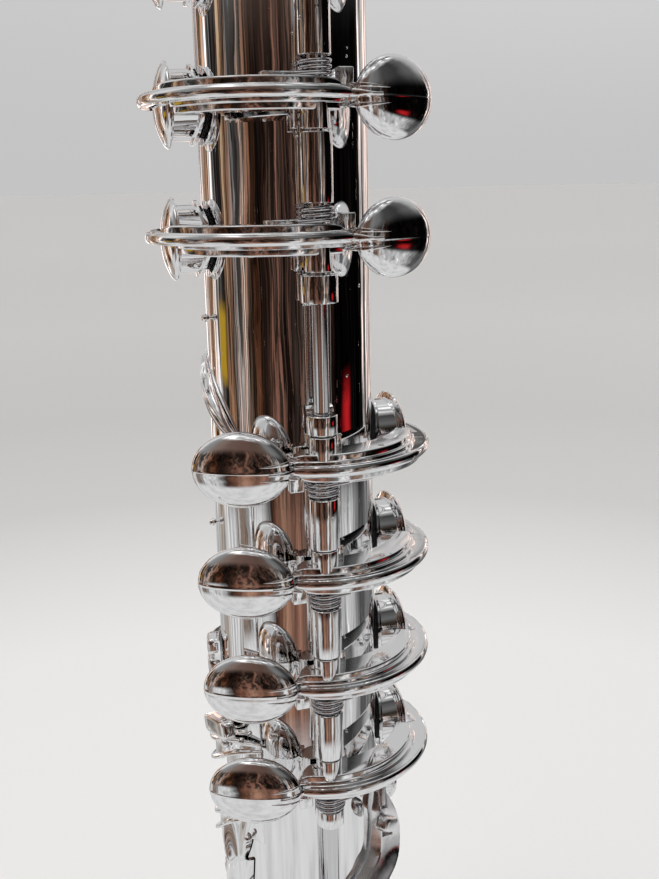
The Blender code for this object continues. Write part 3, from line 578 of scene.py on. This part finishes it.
def make_key(number, level, turned_over, tube_length):
    body, matrix = "key_%d" % number, key_frame(level, turned_over)

    def piece(name, bm, look, *nodes, **more):
        nodes = ["%s_%d" % (node, number) for node in nodes]
        make_piece("%s_%d" % (name, number), bm, look, body, matrix, nodes, **more)

    piece("key_plate", plate_bmesh(), "plate", "lever", sharp=28)
    piece("key_touch", touch_bmesh(), "touch", sharp=60)
    boss = sleeve_bmesh(ROD_BORE, BOSS_RADIUS, -0.0012, BOSS_HEIGHT, 0.00015)
    block_bmesh((-0.0044, -0.0008, -PLATE_THICKNESS - 0.0019), (-0.0026, 0.0006, -PLATE_THICKNESS + 0.0008),
                0.00015, boss)
    piece("key_boss", boss, "chrome")
    low = BOSS_HEIGHT + GAP
    if tube_length:
        hinge_tube = sleeve_bmesh(ROD_BORE, HINGE_RADIUS, low, low + tube_length, 0.0002)
        piece("key_hinge_tube", hinge_tube, "chrome", "hinge_tube")
    coil = coil_bmesh(-0.0058, SPRING_TURNS - 0.2, SPRING_COIL + 0.0002, SPRING_WIRE - 0.00003, 0.0024)
    piece("key_spring", coil, "steel", "spring", slot="steel", sharp=60)

    direction = from_axis(1, CUP_ANGLE) - from_axis(0, CUP_ANGLE)
    seat = matrix @ along_direction(from_axis(0, 0, CUP_LEVEL), direction)
    stem = [(0.0038, 0), (0.0046, 0), (0.00468, 0.0001), (0.00468, 0.0004), (0.0046, 0.0005),
            (0.00415, 0.00055)]
    dome = [(0.0041, 0.0137), (0.0042, 0.01385), (0.0046, 0.0139), (0.00495, 0.014), (0.00505, 0.01415),
            (0.005, 0.01432), (0.0047, 0.01462), (0.0041, 0.01495), (0.0033, 0.01527), (0.0024, 0.01553),
            (0.0013, 0.0157), (0, CUP_OUTER)]
    names = [name % number for name in ("key_pad_%d", "pad_%d", "key_cup_%d", "pad_cup_%d")]
    make_pad_and_cup(body, names, seat, tube_radius_at(level), 0.0037, stem, dome)


def make_pad_and_cup(body, names, seat, surface, pad_radius, stem, dome):
    """A felt pad and the domed cup over it, cut to lie round the tube. A node's name follows each name."""
    pad = saddle_bmesh(square(0, pad_radius, 0, PAD_OUTER), surface + GAP, seat)
    make_piece(names[0], pad, "felt", body, None, [names[1]], slot="felt")
    cup = saddle_bmesh(stem, surface + GAP + STEM_CLEAR, seat, dome)
    make_piece(names[2], cup, "chrome", body, None, [names[3]], sharp=34)


def saddle_bmesh(foot, surface, seat, top=()):
    """A turned stem whose inner end is cut to lie round the tube. Foot heights count from that cut."""
    bm = bmesh.new()
    rings = []
    upright = seat.inverted().to_3x3() @ Vector((0, 0, 1))
    for radius, height in list(foot) + list(top):
        cut = (radius, height) in foot and height < 0.005
        ring = []
        for turn in circle(SADDLE_SIDES):
            spot = Vector((radius * cos(turn), radius * sin(turn), 0))
            offset = (spot - upright * spot.dot(upright)).length
            rise = sqrt(max(surface * surface - offset * offset, 1e-9)) if cut else 0
            ring.append(bm.verts.new(spot + Vector((0, 0, rise + height))))
        rings.append(ring)
    skin(bm, rings)
    bmesh.ops.remove_doubles(bm, verts=bm.verts, dist=1e-7)
    bmesh.ops.holes_fill(bm, edges=bm.edges, sides=0)
    return moved(bm, seat)


# ---------- tubes, rod and posts
def make_tubes():
    def piece(name, bm, look, node, sharp=32):
        make_piece(name, bm, look, "instrument", stands_for=[node], sharp=sharp)

    socket_floor = TUBE_TOP - SOCKET_DEPTH
    body = [(BORE_RADIUS, TUBE_FOOT), (tube_radius_at(TUBE_FOOT), TUBE_FOOT),
            (tube_radius_at(TUBE_TOP), TUBE_TOP), (SOCKET_RADIUS, TUBE_TOP), (SOCKET_RADIUS, socket_floor),
            (BORE_RADIUS, socket_floor)]
    bm = ring_bmesh(body, 0.0002, 3, SMOOTH_TUBE_SIDES)
    stop_half, stop_turn = 0.00112, Matrix.Rotation(radians(-35), 4, "Z")
    for level in LOWER_KEY_LEVELS:
        surface = tube_radius_at(level)
        block_bmesh((-stop_half, -surface - 0.0003, level - 0.0132),
                    (stop_half, -surface + 0.0008, level + 0.001), 0.00012, bm, stop_turn)
    stud = [(0, -0.0003), (0.00018, -0.0003), (0.00016, 0.00022), (0.00038, 0.00036), (0.0005, 0.00062),
            (0.0005, 0.00086), (0.00036, 0.00114), (0, 0.00122)]
    for angle, height in ((-66, 0.1366), (-71, 0.1095), (-70, 0.098)):
        outward = around_tube(1, radians(angle))
        seat = along_direction(outward * tube_radius_at(height) + Vector((0, 0, height)), outward)
        joined(bm, moved(turned_bmesh(stud, 28), seat))
    piece("main_tube", bm, "tube", "body_tube", 30)

    shoulder = TUBE_TOP + 0.0018
    head = [(HEAD_BORE, socket_floor + GAP), (TENON_RADIUS, socket_floor + GAP), (TENON_RADIUS, shoulder),
            (HEAD_RADIUS, shoulder), (HEAD_RADIUS, HEAD_TOP), (HEAD_BORE, HEAD_TOP)]
    piece("upper_tube", ring_bmesh(head, 0.0002, 3, SMOOTH_TUBE_SIDES), "tube", "head_tube", 30)

    foot_radius = tube_radius_at(0.004)
    foot = [(BORE_RADIUS, 0), (0.0124, 0), (0.0128, 0.0005), (0.0128, 0.0022), (0.0124, 0.0034),
            (0.0121, 0.0068), (0.0118, 0.0074), (foot_radius + GAP, 0.0074),
            (foot_radius + GAP, TUBE_FOOT - GAP), (BORE_RADIUS, TUBE_FOOT - GAP)]
    piece("foot_band", ring_bmesh(foot, 0.0003, 4, TURNED_SIDES), "chrome", "foot_ring")
    socket = tube_radius_at(0.192) + GAP
    collar = [(socket, 0.1915), (0.0116, 0.1915), (0.012, 0.1925), (0.0116, 0.1938), (0.0115, 0.2012),
              (0.0121, 0.2024), (0.0121, 0.2044), (0.0117, 0.2052), (TENON_RADIUS + 0.0005, 0.2052),
              (TENON_RADIUS + 0.0005, TUBE_TOP + GAP), (socket, TUBE_TOP + GAP)]
    piece("socket_band", ring_bmesh(collar, 0.0003, 4, TURNED_SIDES), "chrome", "socket_ring")
    start = HEAD_TOP + GAP
    crown = [(0, start), (0.0104, start), (0.0108, start + 0.0006), (0.0108, start + 0.003),
             (0.0101, start + 0.0038), (0.0098, start + 0.0062), (0.008, LENGTH - 0.0012),
             (0.0045, LENGTH - 0.0001), (0, LENGTH)]
    piece("crown_cap", turned_bmesh(rounded(crown, 0.0012, 6), TURNED_SIDES), "chrome", "crown")
    make_lip_plate()


def make_lip_plate():
    """The lip plate is an oval saddle with a soft edge and a dished blow hole. A near-black disc in the hole
    is painted shade for the bore behind it.
    """
    inner, outer = HEAD_RADIUS + GAP, HEAD_RADIUS + 0.0021
    half_angle, half_height = radians(62), 0.0145
    hole_x, hole_z, spokes = 0.0049, 0.0042, 96
    # From the blow hole to the rim: share of the way out, then height over the plate's own surface.
    profile = ((0, -0.0019), (0, -0.0004), (0.03, -0.0001), (0.08, 0), (0.25, 0), (0.45, 0),
               (0.65, -0.0001), (0.8, -0.0003), (0.92, -0.0008), (0.98, -0.0013), (1, -0.0018))
    bm = bmesh.new()
    rings = []
    shares = [(1 - share, share, outer + lift) for share, lift in profile] + [(0, 0.99, inner)]
    for near, far, radius in shares:
        ring = []
        for turn in circle(spokes):
            angle = asin(hole_x * cos(turn) / outer) * near + half_angle * cos(turn) * far
            height = hole_z * sin(turn) * near + half_height * sin(turn) * far
            ring.append(bm.verts.new(around_tube(radius, angle, EMBOUCHURE_HEIGHT + height)))
        rings.append(ring)
    skin(bm, rings, closed=True)
    make_piece("lip_saddle", bm, "chrome", "instrument", stands_for=["lip_plate"], sharp=40)
    # A near-black disc just proud of the head tube fills the blow hole: painted shade for the dark bore.
    dish = turned_bmesh(square(0, 0.0043, 0, 0.0004), 64)
    bmesh.ops.scale(dish, vec=(1, 0.9, 1), verts=dish.verts)
    seat = along_direction(Vector((0, -HEAD_RADIUS + 0.0001, EMBOUCHURE_HEIGHT)), Vector((0, -1, 0)))
    make_piece("blow_hole_shade", dish, "dark", "instrument", seat)


POSTS = (("post_top", 0.1832, 0.1862, HINGE_RADIUS), ("post_upper_end", 0.1391, 0.1424, 0.0023),
         ("post_lower_start", 0.1234, 0.1258, HINGE_RADIUS), ("post_lower_end", 0.0697, 0.0721, 0.0018),
         ("post_foot", 0.0395, 0.0425, HINGE_RADIUS))


def make_rod_and_posts():
    """The long rod, and the posts that hold it: a collar, a web and a foot that follows the tube."""
    place = beside_tube(ROD_DISTANCE, ROD_ANGLE)
    rod = [(0, ROD_FOOT), (ROD_RADIUS, ROD_FOOT), (ROD_RADIUS, ROD_TOP - 0.0014),
           (0.0017, ROD_TOP - 0.0014), (0.0017, ROD_TOP - 0.0001), (0, ROD_TOP)]
    rod = turned_bmesh(rounded(rod, 0.0002), 48)
    make_piece("rod", rod, "rod", "instrument", place, ["hinge_rod"], slot="steel")
    for name, low, high, collar in POSTS:
        bm = sleeve_bmesh(ROD_BORE, collar, low, high, 0.0002)
        surface = tube_radius_at((low + high) / 2) + GAP
        block_bmesh((-0.0009, 0.0011, low + 0.0003), (0.0009, ROD_DISTANCE - surface - 0.0002, high - 0.0003),
                    0.00015, bm)
        foot = [(surface, low - 0.0006), (surface + 0.0005, low - 0.0003), (surface + 0.0006, low),
                (surface + 0.0006, high), (surface + 0.0005, high + 0.0003), (surface, high + 0.0006)]
        lofted_bmesh([slice_at(radians(-7 + 18 * step / 12), foot) for step in range(13)], bm)
        make_piece(name + "_shown", bm, "chrome", "instrument", place, [name])


# ---------- foot key and side keys
def smooth_stations(stations, steps=7):
    """Values between stations, along a Catmull-Rom curve."""
    result = []
    row = stations[:1] + stations + stations[-1:]
    for before, here, there, after in zip(row, row[1:], row[2:], row[3:]):
        for step in range(steps):
            t = step / steps
            result.append([0.5 * (2 * q + (r - p) * t + (2 * p - 5 * q + 4 * r - u) * t * t
                                  + (3 * q - p - 3 * r + u) * t ** 3)
                           for p, q, r, u in zip(before, here, there, after)])
    result.append(list(stations[-1]))
    return result


def arm_bmesh(stations, recess, bm):
    """A bar round the tube. A station is degrees, then level, height, inner and outer radius in mm."""
    sections = []
    for degrees, level, height, inner, outer in smooth_stations(stations):
        low, high, lip = level - height / 2, level + height / 2, min(0.55, height * 0.2)
        sunk = outer - min(recess, (outer - inner) * 0.6)
        outline = [(inner, low), (outer, low), (outer, low + lip), (sunk, low + lip * 1.4),
                   (sunk, high - lip * 1.4), (outer, high - lip), (outer, high), (inner, high)]
        outline = rounded([(r * MM, h * MM) for r, h in outline], 0.00022, 3, True)
        sections.append([around_tube(r, radians(degrees), h) for r, h in outline])
    lofted_bmesh(sections, bm)


def pillow_bmesh(degrees, radius, height, half_sizes, lean, power, bm):
    """A rounded block set on the side of the tube. A lower power makes it more square."""
    part = bmesh.new()
    rows, columns = 22, 36

    def bent(value):
        return copysign(abs(value) ** power, value)

    rings = []
    for row in range(1, rows):
        up = pi * row / rows - pi / 2
        rings.append([part.verts.new((bent(cos(up)) * bent(cos(turn)) * half_sizes[0],
                                      bent(cos(up)) * bent(sin(turn)) * half_sizes[1],
                                      bent(sin(up)) * half_sizes[2])) for turn in circle(columns)])
    skin(part, rings)
    part.faces.new(rings[0][::-1])
    part.faces.new(rings[-1])
    place = beside_tube(radius, radians(degrees), height) @ Matrix.Rotation(radians(lean), 4, "Y")
    joined(bm, moved(part, place))


def onto(spot, radius):
    """The point at the same height and angle, at another distance from the tube's axis."""
    share = radius / hypot(spot.x, spot.y)
    return Vector((spot.x * share, spot.y * share, spot.z))


def band_bmesh(stations, dish, foot_radius, flare, splay, hollows, bm):
    """A dished band with soft lips, laid along pairs of edge points, with walls that reach down to the tube.

    The inner wall's foot stands out by a share of the width, which runs from the first to the second flare.
    """
    edges = [[around_tube(row[k + 1] * MM, radians(row[k]), row[k + 2] * MM) for k in (0, 3)]
             for row in smooth_stations([inner + outer for inner, outer in stations], BAND_STEPS)]
    middles = [(inner + outer) / 2 for inner, outer in edges]
    sections = []
    for index, ((inner, outer), middle, forward) in enumerate(zip(edges, middles, headings(middles))):
        across = outer - inner
        normal = across.cross(forward).normalized()
        if normal.dot(Vector((middle.x, middle.y, 0))) < 0:
            normal = -normal
        section = []
        for step in range(BAND_POINTS + 1):
            u = step / BAND_POINTS
            lip = min(1, min(u, 1 - u) / LIP_SHARE)
            sunk = sum(depth * MM for first, last, low, high, depth in hollows
                       if first < index / BAND_STEPS < last and low < u < high)
            rise = LIP_RISE * sqrt(lip * (2 - lip)) - dish * sin(pi * u) ** 2 - sunk
            spot = inner + across * u + normal * rise
            hull = foot_radius + HULL_CLEAR
            section.append(onto(spot, hull) if hypot(spot.x, spot.y) < hull else spot)
        stand = flare[0] + (flare[1] - flare[0]) * index / len(edges)
        section += [onto(inner + across * (u + (1 - u) * stand), foot_radius)
                    for u in (splay, 0.75, 0.5, 0.25, 0)]
        sections.append(section)
    lofted_bmesh(sections, bm)


# Bands: at each station the inner lip and then the outer lip, as degrees, then radius and height in mm.
FOOT_BAND = (
    ((17, 13.3, 51.6), (19, 14.4, 48.8)), ((27, 12.8, 54.6), (34, 14.3, 50.6)),
    ((37.5, 12.4, 56.2), (45, 14.2, 54)), ((46.5, 12.2, 57.5), (56, 14.2, 56.2)),
    ((54, 12.2, 58.7), (67, 14.2, 57)), ((59.5, 12.2, 59.8), (76, 14.2, 57.9)),
    ((60.8, 12.2, 61.4), (79, 14.2, 59.6)), ((61, 12.2, 63.2), (79, 14.2, 61.2)),
    ((60.5, 12.2, 64.9), (77, 14.1, 63)), ((59, 12.2, 66.4), (73, 13.8, 65.2)),
    ((61.5, 12.2, 67.8), (70.5, 13.2, 67)), ((63.5, 12.2, 68.8), (68.5, 12.6, 68.4)))
TAIL_BAND = (
    ((-76, 12.1, 64.8), (-38, 11.5, 68)), ((-72, 12.3, 62.8), (-41, 11.4, 65.4)),
    ((-67, 12.4, 60.9), (-44.5, 11.3, 62.8)), ((-62.5, 12.3, 59.3), (-47.5, 11.3, 61.2)),
    ((-61, 11.9, 58.7), (-49, 11.25, 60.4)))
LOW_BAND = (
    ((-77, 11.6, 58), (-41.5, 11.2, 61)), ((-76.5, 11.8, 56.6), (-42, 11.2, 59.8)),
    ((-75, 11.8, 54.4), (-43, 11.2, 57.6)), ((-74, 11.6, 53), (-44, 11.2, 56)))
# Hollows in a band: first and last station, then first and last part of the width, then depth in mm.
FOOT_HOLLOWS = ((6.4, 7, 0.1, 0.62, 1), (9.35, 9.95, 0.15, 0.55, 0.5))
# The foot key's stem to its cup: degrees, then radius, height and half width in mm.
FOOT_STEM = ((62.8, 12.7, 67.6, 1.05), (63.2, 12.5, 69.4, 0.75), (65.5, 12.45, 70.4, 0.6),
             (74, 12.4, 70.4, 0.8), (88, 12.5, 69.4, 1.2), (102, 12.9, 67.8, 1.5),
             (113, 13.5, 66, 1.6))


# Side keys from the top: name, ends of the hub, arms with their recess, bands, and the arguments of pillows.
SIDE_KEYS = (
    ("side_blade", (0.128, 0.1345),
     [([(-128, 131, 3.2, 11.2, 12.1), (-108, 130.4, 2.7, 10.95, 11.5), (-88, 129.2, 2.2, 10.9, 11.6),
        (-68, 126.7, 2, 10.9, 11.9), (-52, 124, 1.8, 10.95, 11.8), (-42, 122.2, 0.7, 11, 11.4)], 0.22)],
     [], []),
    ("side_block_upper", (0.085, 0.092),
     [([(-128, 88.6, 4.8, 11.2, 12.2), (-112, 88.8, 4.8, 11.1, 11.8), (-98, 89, 5, 11.1, 12.1),
        (-86, 89.3, 5.2, 11.1, 12.2), (-76, 89.5, 4.8, 11.1, 11.9)], 0)], [],
     [(-84, 0.01185, 0.0909, (0.0017, 0.0009, 0.00128), 0, 0.5),
      (-83, 0.01185, 0.088, (0.0017, 0.0009, 0.00135), 0, 0.5)]),
    ("side_block_middle", (0.071, 0.079),
     [([(-128, 74.6, 5.6, 11.2, 12.3), (-108, 74.4, 5.4, 11.15, 12.2), (-92, 74.6, 4.4, 11.15, 12.9),
        (-78, 75.6, 3.8, 11.2, 13), (-64, 77, 3.2, 11.2, 12.6), (-50, 78.4, 2.6, 11.25, 12),
        (-38, 79.2, 2, 11.3, 11.8), (-28, 79.5, 1.4, 11.3, 11.6)], 0.75)], [],
     [(-66, 0.01225, 0.0803, (0.0044, 0.00105, 0.00135), -17, 0.42),
      (-43, 0.0118, 0.0799, (0.0005, 0.0005, 0.0005), 0, 1),
      (-59, 0.0121, 0.0783, (0.0007, 0.0006, 0.0006), 0, 0.8)]),
    ("side_block_lower", (0.054, 0.064),
     [([(-128, 60, 5, 11.25, 12.3), (-108, 61, 4.4, 11.2, 12.2), (-90, 62.6, 3.6, 11.2, 12.8),
        (-76, 64.2, 3.2, 11.2, 13), (-62, 66.4, 2.8, 11.2, 12.7), (-50, 68, 2.4, 11.25, 12.3),
        (-38, 69, 1.7, 11.3, 11.8)], 0.75),
      ([(-128, 57.2, 4.6, 11.25, 12), (-108, 56.8, 4.4, 11.2, 11.9), (-88, 56.4, 3.8, 11.2, 11.9),
        (-74, 56.4, 3.4, 11.2, 11.8)], 0.3)],
     [(TAIL_BAND, 0.0004, 0.01103, (0, 0), 1.06, ()), (LOW_BAND, 0.0003, 0.01103, (0, 0), 1.04, ())],
     [(-42, 0.0116, 0.0648, (0.00055, 0.0006, 0.0005), 0, 1)]))


def make_side_keys():
    """Four short keys that wrap round the left side from a thin rod behind it."""
    rod = Matrix.Translation(around_tube(SIDE_ROD_DISTANCE, SIDE_ROD_ANGLE))
    for number, (name, (low, high), arms, bands, pillows) in enumerate(SIDE_KEYS, 1):
        bm = moved(sleeve_bmesh(0.00068, 0.0011, low, high, 0.0002, 40), rod)
        for arm in arms:
            arm_bmesh(*arm, bm)
        for band in bands:
            band_bmesh(*band, bm)
        for pillow in pillows:
            pillow_bmesh(*pillow, bm)
        make_piece(name, bm, "chrome", "side_%d" % number, stands_for=["side_key_%d" % number])


def make_foot_key():
    """One arm from the rod up and round the side: hub, neck to the touch, dished band, knuckle and stem."""
    body = "foot_key"
    matrix = key_frame(FOOT_LEVEL, False)
    hub = sleeve_bmesh(ROD_BORE, HINGE_RADIUS, -0.003, 0.005, 0.0003)
    low, high = TOUCH_LEVEL - 0.0009, TOUCH_LEVEL + 0.0009
    neck = rounded(square(0.0131, 0.0148, low, high), 0.0003, 3, closed=True)
    lofted_bmesh([slice_at(radians(-30 + 30 * step / 9), neck) for step in range(10)], hub)
    moved(hub, matrix)
    band_bmesh(FOOT_BAND, 0.0002, 0.0112, (-0.5, 0.2), 0.985, FOOT_HOLLOWS, hub)
    pillow_bmesh(57.5, 0.0138, 0.0653, (0.0022, 0.0011, 0.0011), 31, 0.6, hub)
    stations = smooth_stations(FOOT_STEM, 6)
    route = [around_tube(station[1] * MM, radians(station[0]), station[2] * MM) for station in stations]
    sections = []
    for spot, forward, station in zip(route, headings(route), stations):
        outward = around_tube(1, radians(station[0]))
        across = forward.cross(outward).normalized() * station[3] * MM
        sections.append([spot + across * cos(a) + outward * 0.00055 * sin(a) for a in circle(20)])
    lofted_bmesh(sections, hub)
    make_piece("foot_key_arm", hub, "arm", body, None, ["foot_lever"], sharp=40)
    make_piece("foot_key_touch", touch_bmesh(), "touch", body, matrix, sharp=60)
    cup_direction = around_tube(1, ROD_ANGLE + FOOT_CUP_ANGLE)
    seat = along_direction(Vector((0, 0, FOOT_CUP_LEVEL)), cup_direction)
    foot = [(0.0034, 0), (0.0037, 0), (0.00378, 0.0001), (0.00378, 0.0004), (0.0036, 0.00055)]
    dome = [(0.0036, 0.0129), (0.0039, 0.013), (0.004, 0.0132), (0.0037, 0.0137), (0.0026, 0.0142),
            (0.0012, 0.0145), (0, 0.0146)]
    make_pad_and_cup(body, ["foot_key_pad", "foot_pad", "foot_key_cup", "foot_pad_cup"], seat,
                     tube_radius_at(FOOT_CUP_LEVEL), 0.0033, foot, dome)
    spring = coil_bmesh(-0.003 - GAP - 0.0027, SPRING_TURNS, SPRING_COIL, SPRING_WIRE, 0.0016)
    make_piece("foot_key_spring", spring, "steel", body, matrix, ["foot_spring"], "steel", 60)


# ---------- surroundings
# What the chrome shows all round, as degrees from the front and a colour as it is to look on screen: the room
# at eye level, the hands and table edge below it, and the walls above it.
ROOM = [(-180, 190), (-150, 180), (-136, (128, 108, 90)), (-125, (150, 128, 104)), (-120, 238), (-111, 230),
        (-107, 50), (-97, 30), (-92, (96, 80, 64)), (-82, (84, 70, 58)), (-74, 130), (-62, (134, 122, 114)),
        (-54, (84, 70, 60)), (-44, (50, 34, 24)), (-34, 10), (-27, (52, 36, 29)), (-21, (76, 60, 53)),
        (-9, (74, 58, 51)), (0, (54, 42, 37)), (8, (40, 33, 30)), (16, (60, 50, 45)), (24, 80), (28, 176),
        (33, 150), (38, 26), (46, (110, 102, 94)), (53, 108), (60, (34, 24, 20)), (68, 4), (80, 3), (96, 6),
        (112, 3), (119, 20), (123, 184), (150, 190), (180, 190)]
HANDS = [(-180, 190), (-150, 180), (-128, (160, 150, 140)), (-112, 208), (-96, 204), (-86, (128, 114, 104)),
         (-76, (126, 108, 96)), (-66, 138), (-58, 206), (-44, 200), (-37, 150), (-31, (60, 42, 34)),
         (-24, (98, 66, 52)), (-15, (156, 118, 98)), (-5, (116, 84, 70)), (4, (140, 102, 86)),
         (13, (104, 80, 70)), (20, 116), (25, 222), (31, 222), (37, (108, 92, 82)), (44, (132, 110, 98)),
         (54, 184), (70, 172), (84, 200), (98, 156), (110, 76), (128, 116), (150, 96), (165, 150), (180, 190)]
ABOVE = [(-180, 196), (-140, 190), (-110, 216), (-90, 150), (-70, 132), (-50, (124, 108, 100)),
         (-30, (104, 84, 76)), (-12, (98, 76, 68)), (0, (90, 72, 64)), (12, (92, 78, 70)), (30, 118),
         (45, 104), (62, 66), (80, 56), (100, 92), (120, 170), (140, 196), (180, 196)]
# How much the fine streaks and the broad stripes, both from noise, brighten or darken the room.
STREAKS = [(0.34, 0.16), (0.42, 0.55), (0.46, 0.95), (0.53, 1), (0.56, 1.5), (0.6, 1.1), (0.68, 2.3)]
STRIPES = [(0.3, (0.05, 0.045, 0.04)), (0.4, (0.1, 0.08, 0.07)), (0.412, (0.9, 0.86, 0.84)),
           (0.47, (1.1, 1.05, 1.02)), (0.48, (0.25, 0.22, 0.2)), (0.5, (0.3, 0.27, 0.25)),
           (0.51, (2.3, 1.75, 1.55)), (0.57, (3, 2.3, 2.05)), (0.58, 0.5), (0.64, 0.4),
           (0.65, (4, 3.9, 3.8))]


def make_world():
    """A plain pale studio for the camera. What the chrome shows is a dim room with soft upright shapes."""
    world = bpy.data.worlds.new("studio")
    bpy.context.scene.world = world
    world.use_nodes = True
    n = Nodes(world.node_tree)
    direction = n.add("ShaderNodeTexCoord").outputs["Generated"]
    x, y, z = n.add("ShaderNodeSeparateXYZ", {0: direction}).outputs
    level = n.times(n.math("ARCSINE", z), 180 / pi)
    sideways = n.math("ARCTAN2", x, n.times(y, -1))

    def uneven(across, crowding, drift, *settings):
        """Noise that changes much across and little with the level, so it makes upright streaks."""
        place = n.add("ShaderNodeCombineXYZ", {0: n.times(across, crowding), 1: n.times(level, drift)})
        return n.noise(place.outputs[0], *settings)

    wander = n.times(n.minus(n.noise(direction, 3.5, 2), 0.5), 0.16)
    ripple = n.times(n.minus(uneven(sideways, 2.2, 0.16, 1, 2, 0.5), 0.5), 0.15)
    turn = n.plus(n.times(n.plus(sideways, n.plus(wander, ripple)), 0.5 / pi), 0.5)

    def at(degrees):
        return degrees / 360 + 0.5

    def ramps(stops):
        """A colour ramp holds a limited number of stops, so the circle is split in two."""
        halves = []
        for low, high in ((-180, 0), (0, 180)):
            half = [(at(degrees), tint(*colour) if isinstance(colour, tuple) else shown(colour))
                    for degrees, colour in stops if low <= degrees <= high]
            halves.append(n.ramp(turn, half, "EASE"))
        return n.mix(n.math("GREATER_THAN", turn, 0.5), *halves)

    def patch(degrees, inner, outer, rise, fall):
        """A soft-edged mask round one direction and between two levels."""
        beside = n.smooth(n.math("ABSOLUTE", n.minus(turn, at(degrees))), inner, outer, 1, 0)
        return n.times(beside, n.times(n.smooth(level, *rise), n.smooth(level, *fall, 1, 0)))

    streak_gain = n.ramp(uneven(turn, 42, 0.035, 2.4, 4, 0.62), STREAKS)
    stripe_gain = n.ramp(uneven(turn, 34, 0.02, 1, 1, 0.5), STRIPES)
    upper = n.mix(1, ramps(ROOM), streak_gain, "MULTIPLY")
    upper = n.mix(0.9, upper, stripe_gain, "MULTIPLY")
    upper = n.mix(patch(84, 0.006, 0.03, (-14, -12), (-10.5, -7.5)), upper, tint(176, 30, 34))
    upper = n.mix(patch(-103, 0.012, 0.024, (-9.5, -8), (-5, -3)), upper, tint(170, 136, 40))
    lower = n.mix(0.7, ramps(HANDS), streak_gain, "MULTIPLY")

    greys = [(0.3, shown(186)), (0.5, shown(212)), (0.7, shown(222))]
    table = n.ramp(n.noise(direction, 6, 4, 0.6), greys)
    bright = [(0.38, shown(150)), (0.46, shown(205)), (0.56, 1.1), (0.66, 1.6)]
    panels = n.ramp(n.noise(direction, 4.2, 1), bright)
    sky = n.mix(n.smooth(level, 50, 66), ramps(ABOVE), panels)
    colour = n.mix(n.smooth(level, -19, -13.5), lower, upper)
    colour = n.mix(n.smooth(level, -37, -31, 1, 0), colour, table)
    colour = n.mix(n.smooth(level, 12, 28), colour, sky)

    camera = n.add("ShaderNodeLightPath").outputs["Is Camera Ray"]
    plain = n.ramp(n.smooth(level, 0, 14), [(0, shown(196)), (1, shown(211))])
    left = n.times(n.smooth(x, -0.35, 0.35, 1, 0), n.smooth(level, 0, 10))
    plain = n.mix(left, plain, n.mix(1, plain, 0.93, "MULTIPLY"))
    n.put(world.node_tree.nodes["Background"], "Color", n.mix(camera, colour, plain))


def side_light(name, *place):
    data = bpy.data.lights.new(name, "AREA")
    data.size, data.energy = 0.9, 2
    light = in_scene(name, data, False)
    light.location = place
    light.rotation_euler = (Vector((0, 0.1, 0)) - Vector(place)).to_track_quat("-Z", "Y").to_euler()


def make_stage():
    """A wide pale floor, which the chrome doesn't show, a broad ceiling light and two soft side lights."""
    bm = bmesh.new()
    bmesh.ops.create_circle(bm, cap_ends=True, segments=128, radius=30)
    mesh = bpy.data.meshes.new("floor")
    bm.to_mesh(mesh)
    bm.free()
    mesh.materials.append(floor_material())
    floor = in_scene("floor", mesh, False)
    floor.location.z = -0.0002
    sun = bpy.data.lights.new("ceiling", "SUN")
    sun.energy, sun.angle = 1.05, radians(110)
    ceiling = in_scene("ceiling", sun, False)
    ceiling.rotation_euler = (radians(8), radians(-6), 0)
    side_light("soft_left", -0.7, -0.5, 0.9)
    side_light("soft_right", 0.8, 0.2, 1)


def make_camera():
    pan, tilt, lean = radians(2.23), radians(14.46), radians(-1.18)
    forward = Vector((sin(pan) * cos(tilt), cos(pan) * cos(tilt), -sin(tilt)))
    right = Vector((cos(pan), -sin(pan), 0))
    up = right.cross(forward)
    across = right * cos(lean) + up * sin(lean)
    upward = up * cos(lean) - right * sin(lean)
    data = bpy.data.cameras.new("camera")
    data.lens, data.sensor_width, data.clip_start = 40.61, 36, 0.005
    camera = in_scene("camera", data)
    turn = Matrix((across, upward, -forward)).transposed().to_4x4()
    camera.matrix_world = Matrix.Translation((0, -0.1285, 0.15247)) @ turn
    bpy.context.scene.camera = camera
    bpy.context.scene.view_settings.view_transform = "Standard"


def main():
    for index, level in enumerate(UPPER_KEY_LEVELS):
        make_key(index + 1, level, True, UPPER_TUBE_LENGTH if index < 2 else 0)
    for index, level in enumerate(LOWER_KEY_LEVELS):
        make_key(index + 4, level, False, LOWER_TUBE_LENGTH if index > 0 else 0)
    make_tubes()
    make_rod_and_posts()
    make_foot_key()
    make_side_keys()
    slots = {part["node"]: part["material_slot"] for part in frame["record"]["subparts"]}
    for node, thing in frame["nodes"].items():
        kind = slots.get(node)
        for slot in thing.material_slots:
            slot.material = LOOKS[kind if kind in ("steel", "cork", "brass", "felt") else "chrome"]
    make_stage()
    make_world()
    make_camera()


main()
